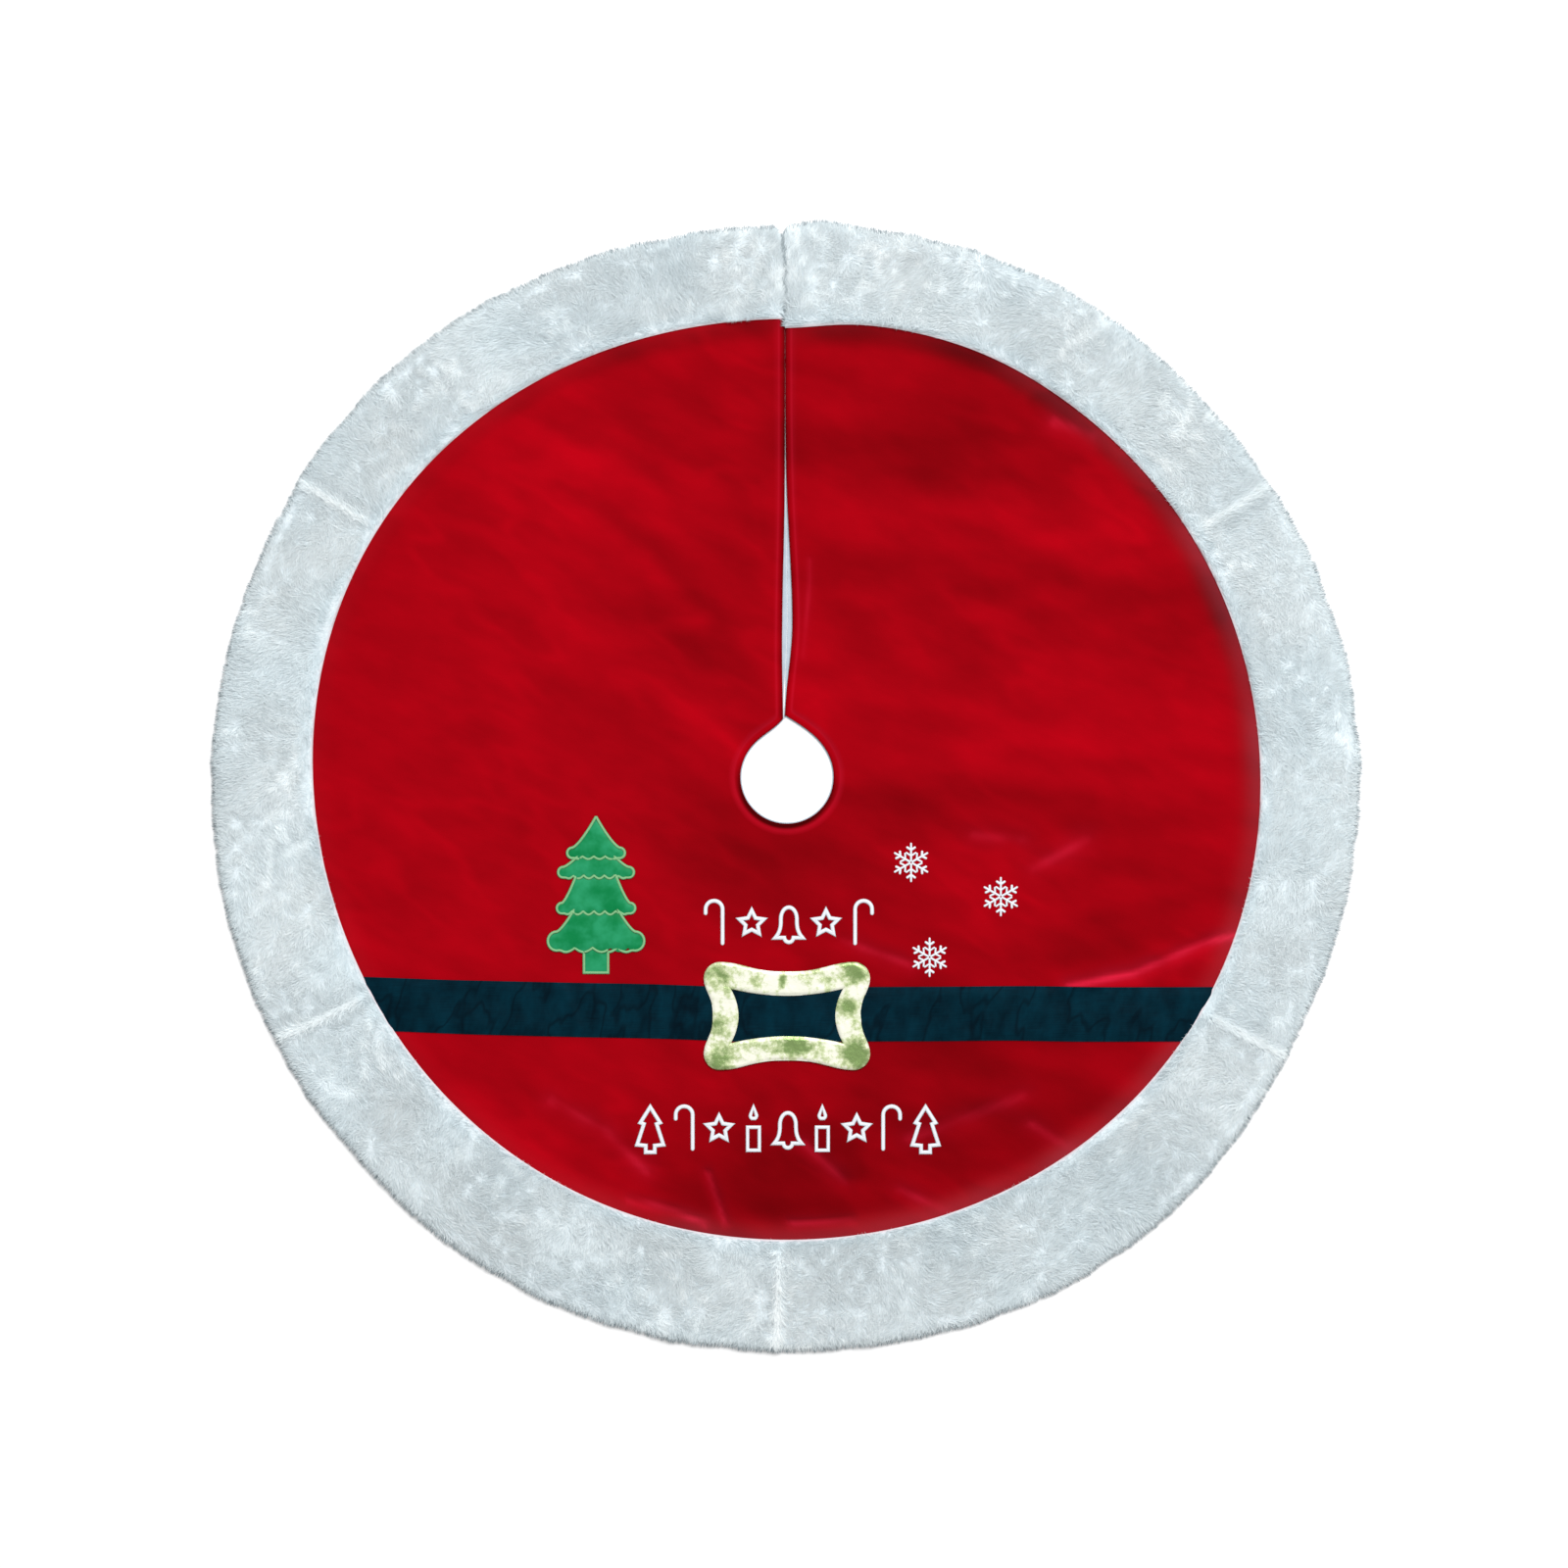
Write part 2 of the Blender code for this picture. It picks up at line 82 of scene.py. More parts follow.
HOLE_CENTRE = 9.4 * MM         # the hole's middle lies this far towards the slit
HOLE_PEAK = 16 * MM            # its edge runs up into the slit by this much
LINING_SHOWS = 1.2 * MM        # lining past the velour's edge
LINING_GAP = 0.8 * MM          # between the lining's two edges in the slit
SEAM_LAP = 8 * MM              # velour that runs on under the plush
RIM_ROLL = 7 * MM              # plush turned down round the lining's edge
BLOUSE = 2.2                   # mm that the velour stands above its stitched lines
FOLD_BEND = 34 * MM            # cloth past the fold line that bends before it lies flat

CREASES = (   # line in mm, height in mm, half width in mm, strength of the highlight painted along its crest
    (((300, -213), (369, -200), (441, -168), (474, -160)), 2.2, 8, 1.0),
    (((330, -150), (400, -135), (455, -120)), 0.9, 14, 0.0),
    (((262, -88), (318, -58)), 0.6, 12, 0.30),
    (((200, -52), (250, -58)), 0.6, 12, 0.20),
    (((-168, -441), (-120, -453), (-88, -466)), 1.4, 6, 0.75),
    (((-84, -412), (-66, -466)), 1.2, 6, 0.40),
    (((5, -466), (70, -463)), 1.2, 6, 0.55),
    (((18, -380), (60, -420)), 0.9, 9, 0.30),
    (((-250, -335), (-195, -365), (-150, -410)), 1.0, 10, 0.35),
    (((130, -375), (185, -355), (250, -330)), 0.8, 12, 0.22),
    (((120, -430), (170, -452)), 1.0, 9, 0.30),
    (((260, -360), (300, -385)), 0.8, 10, 0.25),
    (((-313, 400), (-207, 360), (-134, 313)), 1.3, 16, 0.0),
    (((-242, 313), (-148, 245), (-90, 187)), 1.4, 14, 0.0),
    (((-175, 385), (-95, 330)), 1.0, 12, 0.0),
    (((-31, 319), (-22, 250), (-15, 190)), 1.2, 7, 0.0),
    (((24, 240), (24, 215), (17, 137)), 1.0, 5, 0.22),
    (((285, 387), (325, 373)), 1.2, 12, 0.35),
    (((120, 330), (200, 250), (300, 215)), 1.0, 18, 0.0),
    (((170, 110), (280, 60), (390, 60)), 0.9, 20, 0.0),
    (((60, -165), (130, -190)), 0.8, 9, 0.30),
    (((-430, -20), (-330, 30)), 0.8, 20, 0.0),
    (((-300, -150), (-250, -200)), 0.8, 14, 0.0),
)
PAINTED_LIGHT_TURN = (-0.25, -0.97)      # way from which light is painted on the velour's slopes: slopes turned this way are painted brighter, those turned away darker
STROKES_LEFT = math.radians(-36)     # way that a hand brushed the pile, left and right of the slit
STROKES_RIGHT = math.radians(-7)
DARK_PATCHES = (               # patches where the pile is painted darker: middle in mm, radius in mm, how much
    ((0, -80), 120, 0.26), ((-20, -430), 110, 0.34), ((120, -410), 110, 0.24), ((230, -330), 110, 0.23),
    ((-70, 130), 90, 0.10), ((-90, 380), 150, 0.14), ((330, -230), 90, 0.14), ((140, 400), 110, 0.14))


# ---- fields over the plane

def smooth(value, low, high):
    """0 below low, 1 above high, and a smoothstep between."""
    t = np.clip((value - low) / (high - low), 0, 1)
    return t * t * (3 - 2 * t)


def hump(value, width):
    """1 where the value is 0, dying away as a bell over the width."""
    return np.exp(-(value / width) ** 2)


def noise(x, y, cell, seed):
    """Smooth random field from -1 to 1: random values on a square lattice, blended by smoothstep."""
    size = 256
    values = np.random.default_rng(seed).uniform(-1, 1, (size, size))
    u, v = x / cell, y / cell
    i, j = np.floor(u).astype(int), np.floor(v).astype(int)
    s, t = smooth(u - i, 0, 1), smooth(v - j, 0, 1)
    low = values[i % size, j % size] * (1 - s) + values[(i + 1) % size, j % size] * s
    high = values[i % size, (j + 1) % size] * (1 - s) + values[(i + 1) % size, (j + 1) % size] * s
    return low * (1 - t) + high * t


def stroked(x, y, turn, cell, seed):
    """Noise drawn out three times as long along a direction, as strokes of a brush are."""
    along = x * math.cos(turn) + y * math.sin(turn)
    across = y * math.cos(turn) - x * math.sin(turn)
    return noise(along / 3, across, cell, seed)


def line_distance(x, y, line):
    """Distance to a line of straight stretches, the least of the distances to each."""
    best = np.full(np.shape(x), np.inf)
    for (ax, ay), (bx, by) in zip(line, line[1:]):
        dx, dy = bx - ax, by - ay
        t = np.clip(((x - ax) * dx + (y - ay) * dy) / (dx * dx + dy * dy), 0, 1)
        best = np.minimum(best, np.hypot(x - ax - t * dx, y - ay - t * dy))
    return best


def degrees_past(angle, direction):
    """Degrees from a direction to an angle, from -180 to 180."""
    return (np.degrees(angle) - direction + 180) % 360 - 180


def quarter_round(t, least=0.0):
    """Height of a quarter circle, from the least at 0 to 1 from 1 on."""
    return np.sqrt(np.clip(1 - (1 - np.clip(t, 0, 1)) ** 2, least, 1))


def waved(angle, radius, waves):
    """Radius of a circle that is out of round by a few waves round its edge."""
    total = np.full(np.shape(angle), float(radius))
    for count, (cosine, sine) in enumerate(waves, 1):
        total = total + MM * (cosine * np.cos(count * angle) + sine * np.sin(count * angle))
    return total


def seam_radius(angle):
    """Where the plush starts: out of round, and drawn in on the right of the slit."""
    past = degrees_past(angle, 90.23)
    tuck = 9.5 * MM * hump(past, 7) * (past < 0)
    return waved(angle, SEAM_RADIUS, SEAM_WAVES) + 3.5 * MM * hump(past + 24, 12) - tuck


def rim_radius(angle):
    """Outer edge, with a small flutter and a nick where the slit leaves the border."""
    x, y = np.cos(angle), np.sin(angle)
    flutter = 1.6 * MM * noise(x, y, 0.055, 31) + 0.8 * MM * noise(x, y, 0.021, 32)
    past = degrees_past(angle, 90.6)
    swell, nick = 5 * MM * hump(past + 4.5, 3.2), 9 * MM * hump(past, 0.42)
    return waved(angle, SKIRT_RADIUS + 1 * MM, RIM_WAVES) + flutter + swell - nick


def from_seam(x, y):
    """Distance out from the seam between velour and plush."""
    return np.hypot(x, y) - seam_radius(np.arctan2(y, x))


def from_rim(x, y):
    """Distance in from the outer edge."""
    return rim_radius(np.arctan2(y, x)) - np.hypot(x, y)


def hole_radius(angle):
    """Trunk hole: a circle off the origin, drawn up to a peak where the slit begins."""
    across, up = HOLE_CENTRE * np.cos(angle), HOLE_CENTRE * np.sin(angle)
    circle = up + np.sqrt((HOLE_RADIUS - 0.5 * MM) ** 2 - across ** 2)
    past = degrees_past(angle, 91)
    return circle + HOLE_PEAK * np.exp(-np.abs(past) / np.where(past > 0, 10, 19))


def slit_sides(y):
    """x of the slit's left and right edge: a narrow gap that bellies out above the hole."""
    belly = hump(y - 0.170, np.where(y < 0.170, 0.070, 0.113))
    half = 0.15 * MM + 5.2 * MM * belly
    lower = -3.6 * MM + 4.1 * MM * hump(y - 0.180, 0.070)
    upper = -2.0 * MM + 2.5 * MM * hump(y - 0.180, 0.127)
    middle = np.where(y < 0.180, lower, upper) - 4 * MM * smooth(y, 0.52, 0.60)
    return middle - half, middle + half


def edge_distance(x, y):
    """Distance in from the nearer cut edge, the hole's or the slit's, eased where they meet."""
    hole = 0.9 * (np.hypot(x, y) - hole_radius(np.arctan2(y, x)))
    left, right = slit_sides(np.maximum(y, 0.05))
    slit = np.where(x < (left + right) / 2, left - x, x - right)
    slit = np.where(y > 0.03, slit, 1.0)
    ease = 1.2 * MM
    return -ease * np.logaddexp(-hole / ease, -slit / ease)


def slit_distance(x, y):
    """Distance to the nearer side of the slit, and a metre on the front half."""
    left, right = slit_sides(np.maximum(y, 0.05))
    return np.where(y > 0, np.minimum(np.abs(x - left), np.abs(x - right)), 1.0)


def velour_face(x, y):
    """Height of the velour's face.

    It blouses by slow noise and the creases, is held down at the border seam and
    the hem's stitched line, and the hem is a ridge that rounds off at the cut edge.
    """
    edge = edge_distance(x, y)
    swell = BLOUSE + 0.9 * noise(x, y, 0.135, 1) + 0.45 * noise(x, y, 0.052, 2)
    swell = swell + 0.12 * noise(x, y, 0.017, 3)
    for line, height, width, _ in CREASES:
        away = line_distance(x / MM, y / MM, line)
        swell = swell + height * (hump(away, width) - 0.35 * hump(away, 2.4 * width))
    held = smooth(-from_seam(x, y), 0, 24 * MM) * smooth(edge, HEM, HEM + 40 * MM)
    firm = 0.40 + 0.60 * (1 - smooth(y, 0.09, 0.16))
    hem = firm * (0.7 * hump(edge - 5.4 * MM, 2.4 * MM) - 1.2 * hump(edge, 2.2 * MM))
    return VELOUR_FLAT + MM * (np.maximum(swell, 0.3) * held + hem)


def velour_nap(x, y):
    """Pile tone about 1, with painted light and shade: slopes turned to the painted light gain, those
    turned away lose; strokes of a brush vary the tone, and painted shade darkens the roll-off at the upper
    right seam, the cut edges and the dark patches.
    """
    step = 1.5 * MM
    slope_x = (velour_face(x + step, y) - velour_face(x - step, y)) / (2 * step)
    slope_y = (velour_face(x, y + step) - velour_face(x, y - step)) / (2 * step)
    lit = -(slope_x * PAINTED_LIGHT_TURN[0] + slope_y * PAINTED_LIGHT_TURN[1])
    right = smooth(x, -0.06, 0.06)
    brushed_and_shaded = 0.08 * noise(x, y, 0.150, 5)
    for share, turn, seed in ((1 - right, STROKES_LEFT, 4), (right, STROKES_RIGHT, 7)):
        for cell, amount in ((0.060, 0.15), (0.021, 0.09)):
            brushed_and_shaded = brushed_and_shaded + share * amount * stroked(x, y, turn, cell, seed)
    brushed_and_shaded = brushed_and_shaded * (0.35 + 0.85 * smooth(x + 0.4 * np.abs(y), -0.30, 0.05))
    # Painted shade: a dark band where the cloth rolls down to the upper right seam, and a dark line along
    # the cut edges.
    upper_right = smooth(np.cos(np.arctan2(y, x) - 0.9), 0.2, 0.9)
    rolled = hump(from_seam(x, y), 20 * MM) * upper_right
    brushed_and_shaded = brushed_and_shaded - 0.30 * rolled - 0.45 * hump(edge_distance(x, y), 2.6 * MM)
    for (middle_x, middle_y), radius, amount in DARK_PATCHES:
        away = np.hypot(x - MM * middle_x, y - MM * middle_y)
        brushed_and_shaded = brushed_and_shaded - amount * hump(away, MM * radius)
    return np.clip(1 + 1.5 * lit + brushed_and_shaded, 0.2, 1.5)


def crest_shine(x, y):
    """Painted highlight: a bright line along the crest of some creases, broken up by noise and dying at the
    ends, and a fainter one along the hem's ridge.
    """
    shine = 0 * x
    for line, _, width, gleam in CREASES:
        if gleam:
            away = line_distance(x / MM, y / MM, line)
            shine = shine + gleam * (0.75 * hump(away, 0.40 * width) + 0.25 * hump(away, 1.3 * width))
    # Painted highlight along the hem's ridge.
    hem = 0.22 * hump(edge_distance(x, y) - 6.6 * MM, 1.3 * MM)
    return np.clip(shine * (0.8 + 0.5 * noise(x, y, 0.02, 9)) + hem, 0, 1)


def seam_haze(x, y):
    """Painted sheen, pale, on the roll-off along the right seam: 1 at the seam, gone 25 mm in."""
    side = smooth(np.cos(np.arctan2(y, x) - math.radians(330)), -0.35, 0.75)
    near = hump(np.minimum(from_seam(x, y), 0), 14 * MM)
    return near * (0.12 + 0.88 * side) * (0.8 + 0.4 * noise(x, y, 0.05, 8))


# ---- making pieces

def grid_faces(rows, columns, wrap=False):
    """Quads of a grid of points numbered row by row; with wrap, the last column meets the first."""
    steps = columns if wrap else columns - 1
    row, column = np.meshgrid(np.arange(rows - 1), np.arange(steps), indexing="ij")
    here = row * columns + column
    aside = row * columns + (column + 1) % columns
    return np.stack([here, aside, aside + columns, here + columns], -1).reshape(-1, 4)


def border_loop(rows, columns):
    """Numbers of the points round the edge of a grid, in order."""
    numbers = np.arange(rows * columns).reshape(rows, columns)
    return np.concatenate([numbers[0, :-1], numbers[:-1, -1], numbers[-1, :0:-1], numbers[:0:-1, 0]])


def slab_parts(x, y, top, bottom):
    """Closed sheet between two heights over a grid: both faces and a wall round their edges."""
    rows, columns = x.shape
    count = rows * columns
    faces = grid_faces(rows, columns)
    edge = border_loop(rows, columns)
    after = np.roll(edge, -1)
    wall = np.stack([after, edge, edge + count, after + count], -1)
    points = np.concatenate([np.stack([x, y, z], -1).reshape(-1, 3) for z in (top, bottom)])
    return points, np.concatenate([faces, faces[:, ::-1] + count, wall])


def join_parts(parts):
    """One list of points and one of faces out of several."""
    points, faces, start = [], [], 0
    for some_points, some_faces in parts:
        points.append(some_points)
        faces.append(some_faces + start)
        start += len(some_points)
    return np.concatenate(points), np.concatenate(faces)


def volume_of(points, faces):
    """Signed volume inside a closed mesh of quads, the sum of its tetrahedra from the origin."""
    a, b, c, d = (points[faces[:, k]] for k in range(4))
    return sum(np.einsum("ij,ij->i", a, np.cross(*pair)).sum() for pair in ((b, c), (c, d))) / 6


def make_piece(name, points, quads, material, triangles=None, marks=None, sharp=None):
    """Mesh object with its face corners mapped at their resting x and y, in metres."""
    if triangles is None and volume_of(points, quads) < 0:
        quads = quads[:, ::-1]
    corners, lengths = quads.ravel(), np.full(len(quads), 4)
    if triangles is not None:
        corners = np.concatenate([corners, triangles.ravel()])
        lengths = np.concatenate([lengths, np.full(len(triangles), 3)])
    mesh = bpy.data.meshes.new(name)
    mesh.vertices.add(len(points))
    mesh.vertices.foreach_set("co", points.astype(np.float32).ravel())
    mesh.loops.add(len(corners))
    mesh.loops.foreach_set("vertex_index", corners.astype(np.int32))
    mesh.polygons.add(len(lengths))
    mesh.polygons.foreach_set("loop_start", (np.cumsum(lengths) - lengths).astype(np.int32))
    layer = mesh.uv_layers.new(name="laid_flat")
    layer.data.foreach_set("uv", points[corners, :2].astype(np.float32).ravel())
    for mark, values in (marks or {}).items():
        attribute = mesh.attributes.new(mark, "FLOAT", "POINT")
        attribute.data.foreach_set("value", np.asarray(values, np.float32).ravel())
    mesh.update(calc_edges=True)
    mesh.shade_smooth()
    if sharp:
        mesh.set_sharp_from_angle(angle=math.radians(sharp))
    mesh.materials.append(material)
    piece = bpy.data.objects.new(name, mesh)
    bpy.context.scene.collection.objects.link(piece)
    return piece


def make_slab(name, x, y, top, bottom, material, sharp, **marks):
    """Piece out of a closed sheet between two heights over a grid, both faces marked alike."""
    marks = {mark: np.tile(values.ravel(), 2) for mark, values in marks.items()}
    points, quads = slab_parts(x, y, top, bottom)
    return make_piece(name, points, quads, material, marks=marks, sharp=sharp)


def settle(piece, body, slot, *nodes):
    """Put a piece on the skirt's body, or bake a flap's piece where it lies; then hide its nodes."""
    if body == "skirt":
        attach(piece, "skirt")
    else:
        side = 1 if body == "left_flap" else -1
        away = (side * math.sin(LEFT_FOLD) * FOLD_BEND, -math.cos(LEFT_FOLD) * FOLD_BEND, 0)
        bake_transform(piece)
    if nodes:
        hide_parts(*nodes)
    return piece


# ---- shader arithmetic

class Tone:
    """A socket of a material's nodes that takes part in arithmetic. Without a socket, a start."""

    def __init__(self, tree, socket=None):
        self.tree, self.socket = tree, socket

    def node(self, kind, settings=None, inputs=None, output=0):
        """Add a node, its settings first, then its inputs by name or number; give one output."""
        made = self.tree.nodes.new(kind)
        for key, value in (settings or {}).items():
            setattr(made, key, value)
        for key, value in (inputs or {}).items():
            if isinstance(value, Tone):
                self.tree.links.new(value.socket, made.inputs[key])
            else:
                made.inputs[key].default_value = value
        return Tone(self.tree, made.outputs[output])

    def math(self, operation, first, second=0.0):
        return self.node("ShaderNodeMath", {"operation": operation}, {0: first, 1: second})

    def __add__(self, other):
        return self.math("ADD", self, other)

    def __sub__(self, other):
        return self.math("SUBTRACT", self, other)

    def __rsub__(self, other):
        return self.math("SUBTRACT", other, self)

    def __mul__(self, other):
        return self.math("MULTIPLY", self, other)

    __radd__, __rmul__ = __add__, __mul__

    def place(self):
        """Where a point lies on the flat cloth, in metres."""
        return self.node("ShaderNodeUVMap", {"uv_map": "laid_flat"})

    def mark(self, name):
        return self.node("ShaderNodeAttribute", {"attribute_name": name}, output=2)

    def noise(self, place, scale, detail=2.0, roughness=0.5):
        inputs = {"Vector": place, "Scale": scale, "Detail": detail, "Roughness": roughness}
        return self.node("ShaderNodeTexNoise", {"noise_dimensions": "2D"}, inputs)

    def stretched(self, place, across, along, turn=0.0):
        """The flat place read along axes turned by some degrees, then scaled by two factors."""
        size = (1 / across, 1 / along, 1)
        inputs = {"Vector": place, "Rotation": (0, 0, math.radians(turn)), "Scale": size}
        return self.node("ShaderNodeMapping", {"vector_type": "TEXTURE"}, inputs)

    def step(self, low, high):
        """0 below low, 1 above high, smooth between."""
        inputs = {"Value": self, "From Min": low, "From Max": high}
        return self.node("ShaderNodeMapRange", {"interpolation_type": "SMOOTHSTEP"}, inputs)

    def mix(self, first, second):
        """Colour from the first to the second as this socket goes from 0 to 1."""
        inputs = {0: self, 6: first, 7: second}
        return self.node("ShaderNodeMix", {"data_type": "RGBA"}, inputs, output=2)

    def relief(self, distance, strength=1.0):
        """Normal of a surface that this socket raises by up to a distance."""
        inputs = {"Height": self, "Distance": distance, "Strength": strength}
        return self.node("ShaderNodeBump", None, inputs)


def finish(specular, constants=None):
    """Makes a function into the Principled material of its name.

    The specular level and the constants are set on the shader's own sockets. The function
    gets a start and gives base colour, roughness, normal and metallic, as many as vary.
    """
    def make(paint):
        material = bpy.data.materials.new(paint.__name__)
        material.use_nodes = True
        tree = material.node_tree
        sockets = tree.nodes["Principled BSDF"].inputs
        for key, value in {"Specular IOR Level": specular, **(constants or {})}.items():
            sockets[key].default_value = value
        for key, tone in zip(("Base Color", "Roughness", "Normal", "Metallic"), paint(Tone(tree))):
            tree.links.new(tone.socket, sockets[key])
        return material
    return make


@finish(0.02, {"Sheen Weight": 0.10, "Sheen Roughness": 0.35, "Sheen Tint": (1.0, 0.01, 0.04, 1)})
def red_velour(start):
    """Deep red pile: light and dark in brush strokes with painted light and shade on its slopes, a fine
    pile texture, painted highlights on crests and a pale painted sheen on the lower seam.
    """
    place = start.place()
    strokes = start.noise(start.stretched(place, 0.45, 1.0, -22), 30, 3, 0.55)
    fine = start.noise(place, 1100, 2)
    crush = start.noise(start.stretched(place, 0.4, 1.0, -28), 15, 2)
    where = start.noise(place, 5, 2).step(0.42, 0.62)
    streaks = (1 - start.math("ABSOLUTE", crush - 0.5).step(0.0, 0.10)) * where
    # The pile's tone, with the painted light and shade from its mark.
    level = start.mark("nap") * (0.66 + 0.30 * strokes) + 0.16 * fine + 0.09 * streaks - 0.21
    pile = level.mix((0.035, 0.0001, 0.0002, 1), (0.440, 0.0004, 0.0060, 1))
    # Painted highlight along some crests, then the pale painted sheen by the lower seam.
    with_painted_highlight = start.mark("shine").mix(pile, (0.62, 0.012, 0.040, 1))
    colour = (start.mark("haze") * 0.24).mix(with_painted_highlight, (0.30, 0.075, 0.100, 1))
    return colour, 0.72 + 0.2 * fine, fine.relief(0.5 * MM, 0.35)


@finish(0.2)
def white_lining(start):
    """Pale blue-white backing cloth, painted darker and bluer for the shade it lies in along the slit, with
    a fine criss-cross weave and a slight unevenness.
    """
    place = start.place()
    cloudy = start.noise(place, 60, 4, 0.6)
    warp = start.noise(start.stretched(place, 2400, 120), 1, 1)
    weft = start.noise(start.stretched(place, 120, 2400), 1, 1)
    # Painted shade: the blue-white is darkened to blue-grey, as the lining looks in the slit's shade.
    colour = cloudy.step(0.3, 0.7).mix((0.43, 0.51, 0.58, 1), (0.49, 0.57, 0.64, 1))
    return colour, 0.74 + 0.2 * cloudy, (warp + weft).relief(0.12 * MM, 0.6)


@finish(0.25, {"Sheen Weight": 0.20, "Sheen Roughness": 0.5, "Sheen Tint": (0.9, 0.97, 1.0, 1)})
def white_plush(start):
    """White pile, each strand in the shade painted on it, cooler low down and next to the velour as painted
    shade.
    """
    colour = start.mark("cool").mix((0.95, 0.985, 0.985, 1), (0.82, 0.925, 0.965, 1))
    soft = start.noise(start.place(), 700, 2)
    return start.mark("shade").mix((0.20, 0.26, 0.29, 1), colour), 0.70 + 0.25 * soft


@finish(0.1)
def plush_backing(start):
    """Knitted ground and dense underfur that show between the strands, painted dark along the outer rim as
    shade.
    """
    tufts = start.noise(start.place(), 420, 4, 0.7)
    ground = tufts.step(0.25, 0.75).mix((0.62, 0.70, 0.74, 1), (0.78, 0.85, 0.88, 1))
    # Painted shade along the outer rim.
    rim = start.mark("rim").mix(ground, (0.26, 0.32, 0.34, 1))
    colour = start.mark("edge").mix(rim, (0.66, 0.56, 0.60, 1))
    return colour, 0.78 + 0.2 * tufts, tufts.relief(1.0 * MM, 0.5)


@finish(0.03)
def belt_satin(start):
    """Dark blue-green satin with fine ribs along the ribbon, a faint crushed sheen painted into its colour
    and painted shade in thin crease lines.
    """
    place = start.place()
    ribs = start.noise(start.stretched(place, 40, 1900), 1, 2)
    crush = start.noise(start.stretched(place, 1.0, 0.6, -12), 45, 3, 0.6)
    folds = start.noise(start.stretched(place, 1.0, 0.45, -18), 16, 3, 0.55)
    # Painted shade: thin dark lines where the satin creases; the crush noise paints its sheen.
    line = start.math("ABSOLUTE", folds - 0.5).step(0.0, 0.035)
    level = (0.45 * ribs + 1.1 * crush - 0.28) * (0.45 + 0.55 * line)
    colour = level.mix((0.0002, 0.0035, 0.0075, 1), (0.0004, 0.026, 0.044, 1))
    return colour, 0.34 + 0.3 * crush, (ribs + crush).relief(0.25 * MM, 0.5)


@finish(0.5, {"Coat Weight": 0.25, "Coat Roughness": 0.12})
def pale_gold_foil(start):
    """Pale gold foil, crumpled, its reflections and shade painted into its colour: bright cream faces,
    olive patches, most where it turns from the light.
    """
    place = start.place()
    patch = start.noise(start.stretched(place, 1.0, 0.7, 35), 30, 3, 0.55)
    wrinkle = start.noise(place, 150, 5, 0.7)
    # Painted reflection and shade: olive patches by noise and at the listed places.
    field = 0.55 * patch + 0.50 * wrinkle + 0.42 * start.mark("turned")
    leafy = field.step(0.50, 0.64).mix((0.90, 0.90, 0.76, 1), (0.58, 0.66, 0.36, 1))
    olive = field.step(0.58, 0.80)
    colour = olive.mix(leafy, (0.24, 0.36, 0.12, 1))
    relief = (wrinkle + 1.5 * patch).relief(0.9 * MM, 0.55)
    return colour, 0.22 + 0.22 * wrinkle, relief, 0.15 + 0.5 * olive


@finish(0.10)
def green_satin(start):
    """Green satin, mottled where it puckers, with a fine weave."""
    place = start.place()
    mottle = start.noise(place, 34, 3, 0.6)
    weave = start.noise(start.stretched(place, 300, 2600), 1, 1)
    colour = mottle.step(0.30, 0.72).mix((0.0003, 0.19, 0.052, 1), (0.018, 0.29, 0.122, 1))
    return colour, 0.36 + 0.2 * mottle, (0.6 * mottle + 0.2 * weave).relief(0.6 * MM, 0.5)


def thread(start, deep, light):
    """Embroidery thread: painted light on its crown, painted shade deeper between the threads and towards
    its edges.
    """
    fine = start.noise(start.place(), 1700, 2)
    crown = start.mark("crown") * (0.75 + 0.5 * fine)
    return crown.mix(deep, light), 0.34 + 0.25 * fine


@finish(0.2)
def pale_green_thread(start):
    # Its deep colour is painted shade, dark enough to outline the tree as a shadow would.
    return thread(start, (0.008, 0.045, 0.008, 1), (0.28, 0.60, 0.29, 1))


@finish(0.5)
def white_thread(start):
    # Its deep colour is painted blue-grey shade between the threads.
    return thread(start, (0.42, 0.50, 0.60, 1), (0.88, 0.90, 0.93, 1))


@finish(0.0, {"Roughness": 0.9})
def pale_floor(start):
    """Plain pale floor with the faintest unevenness."""
    cloudy = start.noise(start.node("ShaderNodeTexCoord", output=3), 3)
    return [cloudy.mix((0.955, 0.955, 0.955, 1), (0.965, 0.965, 0.965, 1))]


# ---- cloth sectors

def slit_angle(side, inset):
    """Angle, at a radius, of a line inset from one edge of the slit; side is -1 left, 1 right."""
    def angle_at(radius):
        edge = slit_sides(radius)[0 if side < 0 else 1]
        return np.arccos(np.clip((edge + side * inset) / radius, -1, 1))
    return angle_at


def lining_slit_angle(side):
    """Angle of the lining's edge: its two sides stay nearly shut where the velour is drawn apart."""
    def angle_at(radius):
        left, right = slit_sides(radius)
        closed = (left + right) / 2 + side * LINING_GAP / 2
        open_edge = (left if side < 0 else right) - side * LINING_SHOWS / 2
        shut = smooth(radius, 0.078, 0.12)
        return np.arccos(np.clip((open_edge * (1 - shut) + closed * shut) / radius, -1, 1))
    return angle_at


def at_angle(angle):
    """A side that is straight and radial."""
    return lambda radius: np.full(np.shape(radius), angle)


def moved(rim, amount):
    """A rim moved outwards by an amount."""
    return lambda angle: rim(angle) + amount


